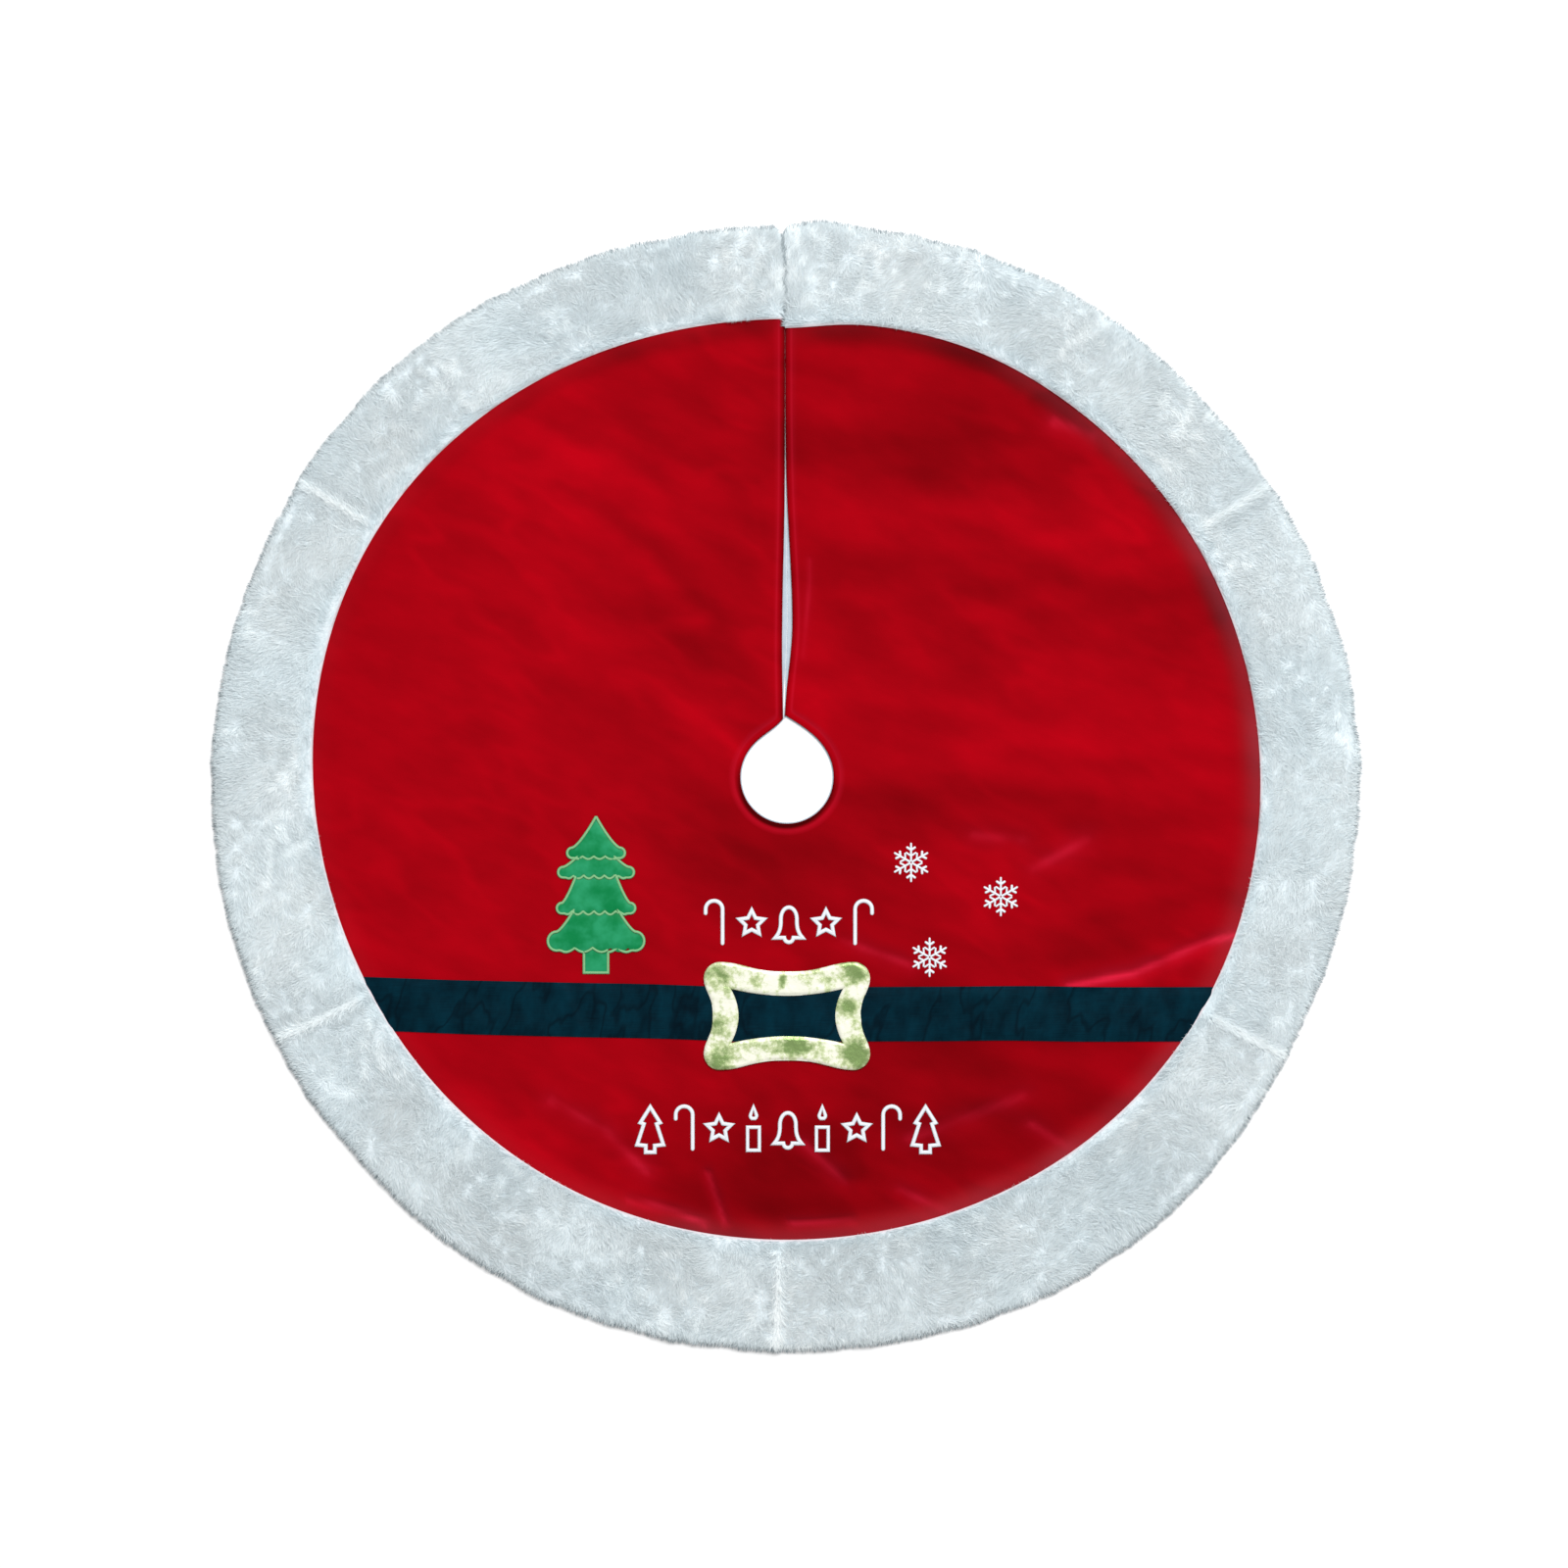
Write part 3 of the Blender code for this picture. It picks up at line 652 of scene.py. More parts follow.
def patch(sides, inner, outer, across, along):
    """x and y of a cloth between two sides and two rims, from fractions across and along.

    The angle runs from side to side at the point's radius, and the radius from rim to
    rim at its angle; each depends on the other, so a few rounds settle both.
    """
    radius = np.full(np.shape(across), 0.3)
    for _ in range(8):
        first, last = sides[0](radius), sides[1](radius)
        angle = first + (last - first) * across
        radius = inner(angle) + (outer(angle) - inner(angle)) * along
    return radius * np.cos(angle), radius * np.sin(angle)


def fractions(across_count, along_count):
    """Grids of fractions across and along."""
    return np.meshgrid(np.linspace(0, 1, across_count), np.linspace(0, 1, along_count), indexing="ij")


def crowded(across, body):
    """Fractions across a flap, crowded towards its fold line."""
    from_fold = 1 - across if body == "left_flap" else across
    near = 0.3 * from_fold + 0.7 * from_fold ** 2
    return {"left_flap": 1 - near, "right_flap": near}.get(body, across)


FLAP_CLOTHS = (((0.42, 0.478), 0.130), ((0.509, 0.576), 0.183))
SECTORS = {   # body, its sides at a fold line or the slit, points across, flat size and area of both cloths
    "front": ("skirt", lambda inset: (at_angle(LEFT_FOLD), at_angle(RIGHT_FOLD + FULL_TURN)), 426,
              ((1.017, 0.78), 0.546), ((1.206, 0.922), 0.769)),
    "left": ("left_flap", lambda inset: (slit_angle(-1, inset), at_angle(LEFT_FOLD)), 150, *FLAP_CLOTHS),
    "right": ("right_flap", lambda inset: (at_angle(RIGHT_FOLD), slit_angle(1, inset)), 150, *FLAP_CLOTHS),
}


def velour_slab(name, sides, inner, outer, counts, spacing):
    """Cloth 2 mm thick under velour_face, marked with its pile tone and painted shade, its painted sheen
    and its painted highlight.
    """
    across, along = fractions(*counts)
    x, y = patch(sides, inner, outer, crowded(across, spacing), along)
    top = velour_face(x, y)
    under = np.maximum(top - 2.2 * MM, VELOUR_BACK)
    return make_slab(name, x, y, top, under, red_velour, 50,
                     nap=velour_nap(x, y), haze=seam_haze(x, y), shine=crest_shine(x, y))


def add_velour(sector):
    """Velour of one sector with its hems: a ring round the hole and, on a flap, one at the slit."""
    body, sides, columns, (flat, area), _ = SECTORS[sector]
    to_hem, to_seam = moved(hole_radius, HEM), moved(seam_radius, SEAM_LAP)
    field = velour_slab(f"{sector}_velour", sides(HEM), to_hem, to_seam, (columns, 89), body)
    settle(field, body, "velour", f"velour_{sector}")
    ring = velour_slab(f"{sector}_hole_hem", sides(0), hole_radius, to_hem, (columns, 9), body)
    hems = [settle(ring, body, "velour", f"trunk_hole_hem_{sector}")]
    if sector != "front":
        side = -1 if sector == "left" else 1
        lines = (slit_angle(side, 0), slit_angle(side, HEM))
        strip = velour_slab(f"{sector}_slit_edge_hem", lines, to_hem, to_seam, (9, 150), "skirt")
        hems.append(settle(strip, body, "velour", f"slit_hem_{sector}"))


def add_lining(sector):
    """Backing sheet of one sector, flat on the floor, a little past the velour's cut edges."""
    body, sides, columns, _, (flat, area) = SECTORS[sector]
    across, along = fractions(columns if body != "skirt" else columns // 2, 60)
    lines = list(sides(0))
    if sector == "left":
        lines[0] = lining_slit_angle(-1)
    if sector == "right":
        lines[1] = lining_slit_angle(1)
    inner, outer = moved(hole_radius, -LINING_SHOWS), moved(rim_radius, -RIM_ROLL)
    x, y = patch(lines, inner, outer, crowded(across, body), along)
    top = LINING_FACE + 0.1 * MM * noise(x, y, 0.02, 6)
    piece = make_slab(f"{sector}_lining", x, y, top, 0 * x, white_lining, 50)
    settle(piece, body, "lining", f"lining_{sector}")


# ---- plush border

PANELS = {   # body, start and end side, and the start and end seam lines
    "left_back": ("left_flap", slit_angle(-1, 0), at_angle(LEFT_FOLD)),
    "right_back": ("right_flap", at_angle(RIGHT_FOLD), slit_angle(1, 0)),
}
for panel, first, last in zip(
        ("left_side", "left_front", "right_front", "right_side"), PANEL_SEAMS, PANEL_SEAMS[1:]):
    PANELS[panel] = ("skirt", at_angle(first), at_angle(last))

STRANDS = 60000                # per panel
STRAND_WIDTH = 0.62 * MM
RIM_FRINGE = 3 * MM            # strands past the ground's outer edge
BARE_EDGE = 1.6 * MM           # ground that shows along the velour
RIM_FACE = 1.6 * MM            # height of the ground at its outer edge
BORDER_MIDLINE = 0.556         # radius along which a panel's length is taken
SEAM_ANGLES = [a - FULL_TURN * (a > math.pi) for a in PANEL_SEAMS]


def panel_seam_distance(x, y):
    """Distance to the nearest radial seam between two plush panels."""
    angle = np.arctan2(y, x)
    away = [np.abs((angle - seam + math.pi) % FULL_TURN - math.pi) for seam in SEAM_ANGLES]
    return np.min(away, axis=0) * np.hypot(x, y)


def plush_face(x, y):
    """Top of the dense underfur: up from the seam, crowned, rolled down at the rim, in soft tufts."""
    low, high = VELOUR_FLAT + 0.9 * MM, PILE_FACE - 2.6 * MM
    rise = 1 - np.exp(-np.maximum(from_seam(x, y), 0) / (4 * MM))
    roll = quarter_round((from_rim(x, y) - RIM_FRINGE) / (15 * MM))
    tufts = 0.8 * MM * noise(x, y, 0.030, 11) + 0.5 * MM * noise(x, y, 0.011, 12)
    ridge = 0.6 * MM * hump(panel_seam_distance(x, y), 5 * MM)
    slope = 2.0 * MM * hump(slit_distance(x, y), 5 * MM)
    crown = low + (high + tufts - low) * rise + ridge - slope
    return RIM_FACE + (crown - RIM_FACE) * roll


def add_plush_panel(panel):
    """One panel's ground: a closed band whose back clears the velour, and then the lining."""
    body, start, end = PANELS[panel]
    across, along = fractions(150, 34)
    outer = moved(rim_radius, -RIM_FRINGE)
    x, y = patch((start, end), seam_radius, outer, crowded(across, body), along)
    inward, outward = from_seam(x, y), from_rim(x, y) - RIM_FRINGE
    lap = 1 - smooth(inward, SEAM_LAP, SEAM_LAP + 3 * MM)
    tucked = smooth(outward, 2 * MM, 5 * MM)
    under = (LINING_FACE + 0.3 * MM) * tucked + (VELOUR_FLAT - LINING_FACE + 0.1 * MM) * lap
    top = np.maximum(plush_face(x, y), under + 0.5 * MM)
    # Marks: the bare edge along the velour, and painted shade along the outer rim.
    piece = make_slab(f"{panel}_plush_ground", x, y, top, under, plush_backing, 60,
                      edge=hump(inward, 1.5 * MM), rim=hump(outward, 3 * MM))
    settle(piece, body, "plush", f"plush_panel_{panel}")
    pile = add_pile(panel, body, start, end)
    middle = np.array(0.55)
    length = round(BORDER_MIDLINE * float(end(middle) - start(middle)), 3)


def strand_lean(x, y, random):
    """Way each strand lies: outward, swirled by slow noise, gathered towards tuft centres."""
    angle = np.arctan2(y, x)
    step = 2 * MM
    gather_x = noise(x + step, y, 0.013, 13) - noise(x - step, y, 0.013, 13)
    gather_y = noise(x, y + step, 0.013, 13) - noise(x, y - step, 0.013, 13)
    at_rim = hump(from_rim(x, y), 9 * MM)
    at_seam = hump(panel_seam_distance(x, y), 5 * MM)
    inner = hump(from_seam(x, y) - BARE_EDGE, 5 * MM)
    out = 0.25 + 2.0 * at_rim + 0.8 * at_seam
    along = 1.6 * inner * np.sign(noise(x, y, 0.09, 22) + 0.3)
    free = 1 - 0.75 * np.maximum(at_rim, np.maximum(inner, at_seam))
    spread = random.normal(0, 0.28, (2, x.size))
    swirl_x = 1.2 * noise(x, y, 0.060, 14) + gather_x
    swirl_y = 1.2 * noise(x, y, 0.060, 15) + gather_y
    lean_x = out * np.cos(angle) - along * np.sin(angle) + free * swirl_x + spread[0]
    lean_y = out * np.sin(angle) + along * np.cos(angle) + free * swirl_y + spread[1]
    size = np.hypot(lean_x, lean_y)
    return lean_x / size, lean_y / size


def strand_marks(x, y, random):
    """Painted shade and coolness of each strand: patches, brighter tufts, a painted highlight on the panel
    seams, painted shade beside them, at the rim, by the slit and along the velour.
    """
    inward, outward, away = from_seam(x, y), from_rim(x, y), panel_seam_distance(x, y)
    patches = 0.07 * noise(x, y, 0.080, 16) + 0.05 * noise(x + 0.6 * y, 0.5 * y - 0.3 * x, 0.022, 17)
    tufts = 0.30 * smooth(noise(x, y, 0.0085, 18) + 0.7 * noise(x, y, 0.060, 19), 0.45, 1.1)
    # Painted highlight along the panel seams, painted shade beside them.
    seam = 0.42 * hump(away / (0.7 + 5 * inward), 4.5 * MM) * smooth(outward, 3 * MM, 10 * MM)
    beside = 0.10 * hump(away - 12 * MM, 5 * MM)
    # Painted shade: a dark contour at the rim, a dark line by the slit, some along the velour, more at top
    # and bottom than at left and right.
    dark = 0.85 * hump(outward - RIM_FRINGE, 2.0 * MM) + 0.6 * hump(slit_distance(x, y), 1.8 * MM)
    dark = dark + 0.08 * hump(inward, 6 * MM) - 0.035 * np.cos(2 * np.arctan2(y, x))
    shade = 0.735 + 0.7 * (patches + tufts + seam - beside) - dark + random.normal(0, 0.04, x.size)
    # Cooler blue-grey next to the velour as painted shade, whiter in tufts and on the seam highlight, with
    # random tint.
    cool = 0.55 + 0.5 * hump(inward - 5 * MM, 6 * MM) - 0.5 * (tufts + seam)
    cool = cool + 0.25 * noise(x, y, 0.06, 20) + random.normal(0, 0.06, x.size)
    return np.clip(shade, 0, 1), np.clip(cool, 0, 1)


def add_pile(panel, body, start, end):
    """Plush strands: flat tapered blades of five points, bent over on their way to the tip."""
    random = np.random.default_rng(sum(panel.encode()))
    across, along = random.uniform(0, 1, (2, STRANDS))
    inner, outer = moved(seam_radius, BARE_EDGE), moved(rim_radius, -RIM_FRINGE)
    x, y = patch((start, end), inner, outer, across, along)
    inward, outward = from_seam(x, y), from_rim(x, y)
    lean_x, lean_y = strand_lean(x, y, random)
    length = 9.5 * MM * random.uniform(0.65, 1.25, STRANDS)
    length = length * (1 - 0.5 * hump(outward, 11 * MM)) * (1 - 0.4 * hump(inward, 6 * MM))
    stand = np.clip(0.28 + 0.12 * noise(x, y, 0.012, 21) + random.normal(0, 0.09, STRANDS), 0.05, 0.6)
    stand = stand + 0.25 * hump(panel_seam_distance(x, y), 4.5 * MM)
    droop = 0.55 * hump(np.maximum(outward - RIM_FRINGE, 0), 7 * MM)
    root = plush_face(x, y) - 0.4 * MM
    middle_z = root + length * 0.5 * (stand - 0.4 * droop)
    tip_z = middle_z + length * 0.5 * (0.25 * stand - 1.2 * droop)
    top = PILE_FACE + 0.3 * MM
    middle_z, tip_z = np.clip(middle_z, 0.5 * MM, top), np.clip(tip_z, 0.3 * MM, top)
    bent = random.normal(0, 0.22, STRANDS)
    tip_x, tip_y = lean_x - bent * lean_y, lean_y + bent * lean_x
    twist = random.normal(0, 0.35, STRANDS)
    half = 0.5 * STRAND_WIDTH * random.uniform(0.7, 1.2, STRANDS)
    side = np.stack([-lean_y * np.cos(twist), lean_x * np.cos(twist), np.sin(twist)], -1) * half[:, None]
    foot = np.stack([x, y, root], -1)
    middle = np.stack([x + 0.45 * length * lean_x, y + 0.45 * length * lean_y, middle_z], -1)
    tip = np.stack([middle[:, 0] + 0.5 * length * tip_x, middle[:, 1] + 0.5 * length * tip_y, tip_z], -1)
    points = np.stack([foot - side, foot + side, middle + 0.8 * side, middle - 0.8 * side, tip], 1)
    points[..., 2] = np.maximum(points[..., 2], 0.2 * MM)
    first = 5 * np.arange(STRANDS)[:, None]
    shade, cool = strand_marks(x, y, random)
    # Painted shade: each strand a little darker at its foot than at its tip.
    along_strand = np.array([0.92, 0.92, 1.0, 1.0, 1.03])
    marks = {"shade": np.clip(shade[:, None] * along_strand, 0, 1), "cool": np.repeat(cool, 5)}
    piece = make_piece(f"{panel}_plush_pile", points.reshape(-1, 3), first + np.arange(4), white_plush,
                       triangles=first + np.array([3, 2, 4]), marks=marks)
    return settle(piece, body, "plush")


# ---- outlines of the decoration

def node_centre(node):
    """x and y of the middle of a node's box."""
    low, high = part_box(node)
    return np.array([(low[0] + high[0]) / 2, (low[1] + high[1]) / 2])


def arc(centre, radius, start, end, count, squash=1.0):
    """Points on an arc, its height multiplied by squash."""
    a = np.radians(np.linspace(start, end, count))
    return pairs(centre[0] + radius * np.cos(a), centre[1] + squash * radius * np.sin(a))


def mirrored(line):
    """The line seen in a mirror, left for right."""
    return line * np.array([-1.0, 1.0])


def pairs(x, y):
    """Points of a line out of their x and y."""
    return np.stack([x, y], -1)


def run_along(line):
    """Length of a line up to each of its points."""
    return np.concatenate([[0], np.cumsum(np.linalg.norm(np.diff(line, axis=0), axis=1))])


def points_at(s, run, line):
    """Points of a line at the lengths s, where run is the length up to each of its points."""
    return pairs(np.interp(s, run, line[:, 0]), np.interp(s, run, line[:, 1]))


def stroke_edges(line, width, closed):
    """Both edges of a line of even width: each point moves along the mitre of its two sides."""
    ahead = np.roll(line, -1, 0) - line
    behind = line - np.roll(line, 1, 0)
    if not closed:
        ahead[-1], behind[0] = behind[-1], ahead[0]
    mitre = 0
    for way in (behind, ahead):
        way = way / np.linalg.norm(way, axis=1)[:, None]
        mitre = mitre + pairs(-way[:, 1], way[:, 0])
    reach = width / np.maximum((mitre ** 2).sum(1), 0.7)
    return line + mitre * reach[:, None], line - mitre * reach[:, None]


THREAD = 0.55 * MM             # from one thread of a satin stitch to the next
THREAD_STEPS = 3               # points along the line for each thread
BAND_POINTS = 6                # points across it


def stitched_band(line, width, closed=False, height=0.9 * MM, base=0.1 * MM):
    """Satin stitch along a line: a dome across its width, ridged once a thread, with round ends.

    The height is dome times ridge above the velour; the back is a flat strip, so that
    the band is a closed tube.
    """
    left, right = stroke_edges(line, width, closed)
    if closed:
        left, right = np.vstack([left, left[:1]]), np.vstack([right, right[:1]])
    run = run_along((left + right) / 2)
    count = max(8, int(run[-1] / THREAD * THREAD_STEPS))
    s = np.linspace(0, run[-1], count, endpoint=not closed)
    left, right = points_at(s, run, left), points_at(s, run, right)
    ends = np.ones(count)
    if not closed:
        ends = quarter_round(np.minimum(s, run[-1] - s) / (width / 2), least=0.03)
    c = np.linspace(0, 1, BAND_POINTS)
    half = (right - left) / 2 * ends[:, None]
    xy = ((left + right) / 2)[:, None] + half[:, None] * (2 * c - 1)[None, :, None]
    phase = s[:, None] / run[-1] * round(run[-1] / THREAD) + 0.5 * c[None]
    ridge = np.abs(np.sin(math.pi * phase))
    dome = np.sqrt(np.clip(1 - (2 * c - 1) ** 2, 0, 1))
    rise = height * dome[None] * ends[:, None] * (0.74 + 0.26 * ridge)
    z = velour_face(xy[..., 0], xy[..., 1]) + base + rise
    first = np.arange(BAND_POINTS)
    last = (count - 1) * BAND_POINTS + first
    caps = [[[0, 5, 4, 1], [1, 4, 3, 2]], last[[[1, 4, 5, 0], [2, 3, 4, 1]]]]
    if closed:
        caps = [pairs(last, np.roll(last, -1)), pairs(np.roll(first, -1), first)]
        caps = [np.concatenate(caps, 1)]
    faces = np.concatenate([grid_faces(count, BAND_POINTS, wrap=True), *caps])
    # Painted light on each thread's crown and on the dome, painted shade between the threads and towards
    # the band's edges.
    crown = (0.30 + 0.70 * ridge) * (0.55 + 0.45 * dome[None])
    return np.concatenate([xy, z[..., None]], -1).reshape(-1, 3), faces, crown.ravel()


def make_stitching(name, bands, node, thread=white_thread, slot="white_thread"):
    """Several stitched bands as one piece on the front, each turned outwards."""
    parts = [(points, faces[:, ::-1] if volume_of(points, faces) < 0 else faces)
             for points, faces, _ in bands]
    points, faces = join_parts(parts)
    crown = np.concatenate([crown for _, _, crown in bands])
    piece = make_piece(name, points, faces, thread, marks={"crown": crown})
    return settle(piece, "skirt", slot, node)


# ---- white embroidery

STROKE = 4.5 * MM
CANDLE_STROKE = 0.9 * STROKE
FIR_DROP = np.array([0, 1.5])  # from the middle of the fir's lines to the middle of its node


def cane():
    """Walking-stick shaped sweet, its hook to the left, open at both ends."""
    hook = arc((-0.5, 14.2), 9.0, 0, 180, 13)
    return [(np.vstack([[(8.5, -24.0), (8.5, 0.0)], hook, [(-9.5, 8.0)]]), False)]


def star():
    """Five-pointed star in outline."""
    a = np.radians(90 + 36 * np.arange(10))
    radius = np.where(np.arange(10) % 2, 6.8, 13.5)
    return [(pairs(radius * np.cos(a), radius * np.sin(a)), True)]


def bell():
    """Bell in outline: flared side, domed top, and the clapper's bump in its lower edge."""
    mouth, waist, shoulder, brim = 14.5, 8.5, 5.0, -15.0
    rise = np.linspace(0, 1, 9)[:-1]
    side = pairs(waist + (mouth - waist) * (1 - rise) ** 3, brim + (shoulder - brim) * rise)
    right = np.vstack([side, arc((0, shoulder), waist, 0, 90, 8, squash=1.45)])
    return [(np.vstack([right, mirrored(right)[-2::-1], arc((0, brim), 4.8, 180, 360, 9)]), True)]


def candle():
    """Candle in outline with a flame."""
    half, foot, top = 6.25, -22.75, 1.75
    body = np.array([(-half, foot), (half, foot), (half, top), (-half, top)])
    flame = np.vstack([arc((0, 14.0), 3.3, -60, 30, 5), [(0, 23.5)], arc((0, 14.0), 3.3, 150, 240, 5)])
    return [(body, True), (flame, True)]


def fir():
    """Small fir tree in outline, its tip at the top."""
    right = np.array([(4.8, -24.0), (4.8, -17.0), (14.0, -16.0), (6.8, 6.0), (10.5, 7.5)])
    return [(np.vstack([right, [(0, 24.0)], mirrored(right)[::-1]]), True)]


ORNAMENTS = {"cane": cane, "star": star, "bell": bell, "candle": candle, "fir": fir}


def add_ornament(node, flip):
    """One stitched ornament, its lines in mm put about the middle of its node."""
    kind = node.split("_")[-1]
    lines = ORNAMENTS[kind]()
    if flip:
        lines = [(mirrored(line)[::-1], closed) for line, closed in lines]
    points = np.vstack([line for line, _ in lines])
    middle = (points.min(0) + points.max(0)) / 2 + (FIR_DROP if kind == "fir" else 0)
    width = CANDLE_STROKE if kind == "candle" else STROKE
    bands = [stitched_band(MM * (line - middle) + node_centre(node), width, closed)
             for line, closed in lines]
    make_stitching(f"{node}_stitching", bands, node)


def add_snowflake(node):
    """Six arms, each with two pairs of slanted branches."""
    centre = node_centre(node)
    reach = (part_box(node)[1][1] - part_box(node)[0][1]) / 2
    lean = math.radians(56)
    bands = []
    for turn in np.radians(60 * np.arange(6)):
        out = np.array([-math.sin(turn), math.cos(turn)])
        aside = np.array([out[1], -out[0]])
        bands.append(stitched_band(centre + np.outer([0.8 * MM, reach], out), 2.6 * MM))
        for place, length, width in ((0.33, 0.33, 2.3 * MM), (0.63, 0.29, 2.9 * MM)):
            for side in (-1, 1):
                way = math.cos(lean) * out + side * math.sin(lean) * aside
                start = centre + place * reach * out
                line = np.stack([start, start + length * reach * way])
                bands.append(stitched_band(line, width, height=0.8 * MM))
    make_stitching(f"{node}_stitching", bands, node)


# ---- fir tree

# In mm below the tip: top half width, top, tip half width, tip, underside, lobe, and the height
# and length of one wave of the underside.
TREE_TIERS = (
    (0.5, 1.0, 30.6, 38.8, 44.3, 5.5, 1.4, 12.0),
    (17.5, 40.0, 40.2, 59.3, 64.8, 5.5, 1.6, 11.0),
    (20.5, 61.0, 41.6, 97.5, 103.0, 5.5, 1.8, 11.5),
    (22.5, 97.5, 51.2, 132.5, 142.5, 9.5, 2.2, 19.0),
)
TREE_TRUNK = (12.8, 138.0, 166.0)     # half width, top, foot
TREE_TIP = np.array([node_centre("tree_edge_stitch")[0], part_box("tree_edge_stitch")[1][1]])
TREE_EDGE = 3.3 * MM


def tier_drops(x, tier):
    """Drops of a tier's side and underside at a half width.

    The side is steep under the top and sweeps out to its lobe; the underside is waved and
    rounds up to the tip at either lobe.
    """
    top_half, top, tip_half, tip, underside, lobe, height, length = tier
    deep, inner = underside - tip, tip_half - lobe
    q = np.clip((np.abs(x) - top_half) / (inner - top_half), 0, 1)
    p = np.clip((np.abs(x) - inner) / lobe, 0, 1)
    side = top + (tip - deep - top) * (1 - (1 - q) ** 1.35)
    calm = 1 - smooth(np.abs(x), inner - 8, inner)
    wave = height * (2 * np.abs(np.sin(math.pi * x / length + 0.6)) - 1.3) * calm
    bulge = deep * np.sqrt(1 - p * p)
    return np.where(p > 0, tip - bulge, side), np.where(p > 0, tip + bulge, underside + wave)


def on_tree(line):
    """Points on the skirt of half widths and drops in mm below the tree's tip."""
    return TREE_TIP + line * np.array([MM, -MM])


def tree_slab(x, drop, rise, lift):
    """Closed piece of satin, its face and its back this many mm above the velour."""
    place = on_tree(pairs(x, drop))
    face = velour_face(place[..., 0], place[..., 1])
    return slab_parts(place[..., 0], place[..., 1], face + MM * rise, face + MM * lift)


def tier_slab(tier):
    """One tier of satin: from its sides down to its underside, puffed, its lower edge on top."""
    s, t = fractions(61, 25)
    x = tier[2] * 0.999 * np.sin((s - 0.5) * math.pi)
    upper, lower = tier_drops(x, tier)
    drop = upper + (lower - upper) * t
    gap = np.minimum(np.minimum(drop - upper, lower - drop), 0.8 * (tier[2] - np.abs(x)))
    place = on_tree(pairs(x, drop))
    crumple = 0.35 * noise(place[..., 0], place[..., 1], 0.012, 41)
    puff = 1.5 * (1 - np.exp(-np.maximum(gap, 0) / 4.5)) + crumple
    return tree_slab(x, drop, 0.35 + 0.75 * t + np.maximum(puff, 0), 0.12 + 0.65 * t)


def trunk_slab():
    """The trunk's satin, puffed between its two sides."""
    half, top, foot = TREE_TRUNK
    s, t = fractions(17, 17)
    x, drop = half * (2 * s - 1), top + (foot - top) * t
    gap = np.minimum(half - np.abs(x), foot - drop)
    return tree_slab(x, drop, 0.3 + 1.1 * (1 - np.exp(-gap / 3.5)), 0.1)


def tier_edge_line(tier, waist):
    """Left edge of a tier: down its side, round the lobe and in along the underside to the waist."""
    top_half, _, tip_half, tip, underside, lobe = tier[:6]
    inner = tip_half - lobe
    side_x, under_x = -np.linspace(top_half, inner, 14), np.linspace(-inner, -waist, 24)
    turn = np.linspace(0, math.pi, 13)[1:-1]
    rounding = pairs(-inner - lobe * np.sin(turn), tip - (underside - tip) * np.cos(turn))
    return np.vstack([pairs(side_x, tier_drops(side_x, tier)[0]), rounding,
                      pairs(under_x, tier_drops(under_x, tier)[1])])


def add_tree():
    """Satin tiers and trunk, their stitched outline and a waved line under each tier."""
    points, faces = join_parts([tier_slab(tier) for tier in TREE_TIERS[::-1]] + [trunk_slab()])
    satin = make_piece("tree_satin_tiers", points, faces, green_satin, sharp=60)
    settle(satin, "skirt", "green_satin", "tree_satin")
    waists = [tier[0] for tier in TREE_TIERS[1:]] + [TREE_TRUNK[0]]
    half, _, foot = TREE_TRUNK
    under = TREE_TIERS[-1][4]
    edges, tier_lines = [], []
    for number, (tier, waist) in enumerate(zip(TREE_TIERS, waists)):
        left = tier_edge_line(tier, waist)
        both = [left, mirrored(left)] if number else [np.vstack([mirrored(left)[::-1], left])]
        edges += [(line, 0.8 if number else 1.0) for line in both]
        x = np.linspace(-waist, waist, 60)
        tier_lines.append(pairs(x, tier_drops(x, tier)[1]))
    edges.append((np.array([(-half, under), (-half, foot), (half, foot), (half, under)]), 0.4))
    bands = [stitched_band(on_tree(line), TREE_EDGE, height=1.0 * MM, base=base * MM)
             for line, base in edges]
    green = (pale_green_thread, "green_thread")
    stitches = [make_stitching("tree_edge_stitching", bands, "tree_edge_stitch", *green)]
    for number, line in enumerate(tier_lines, 1):
        name, node = f"tree_tier_stitching_{number}", f"tree_tier_stitch_{number}"
        if number == len(TREE_TIERS):
            name, node = "tree_trunk_stitching", "tree_trunk_stitch"
        band = stitched_band(on_tree(line), 2.8 * MM, base=1.5 * MM)
        stitches.append(make_stitching(name, [band], node, *green))


# ---- belt and buckle

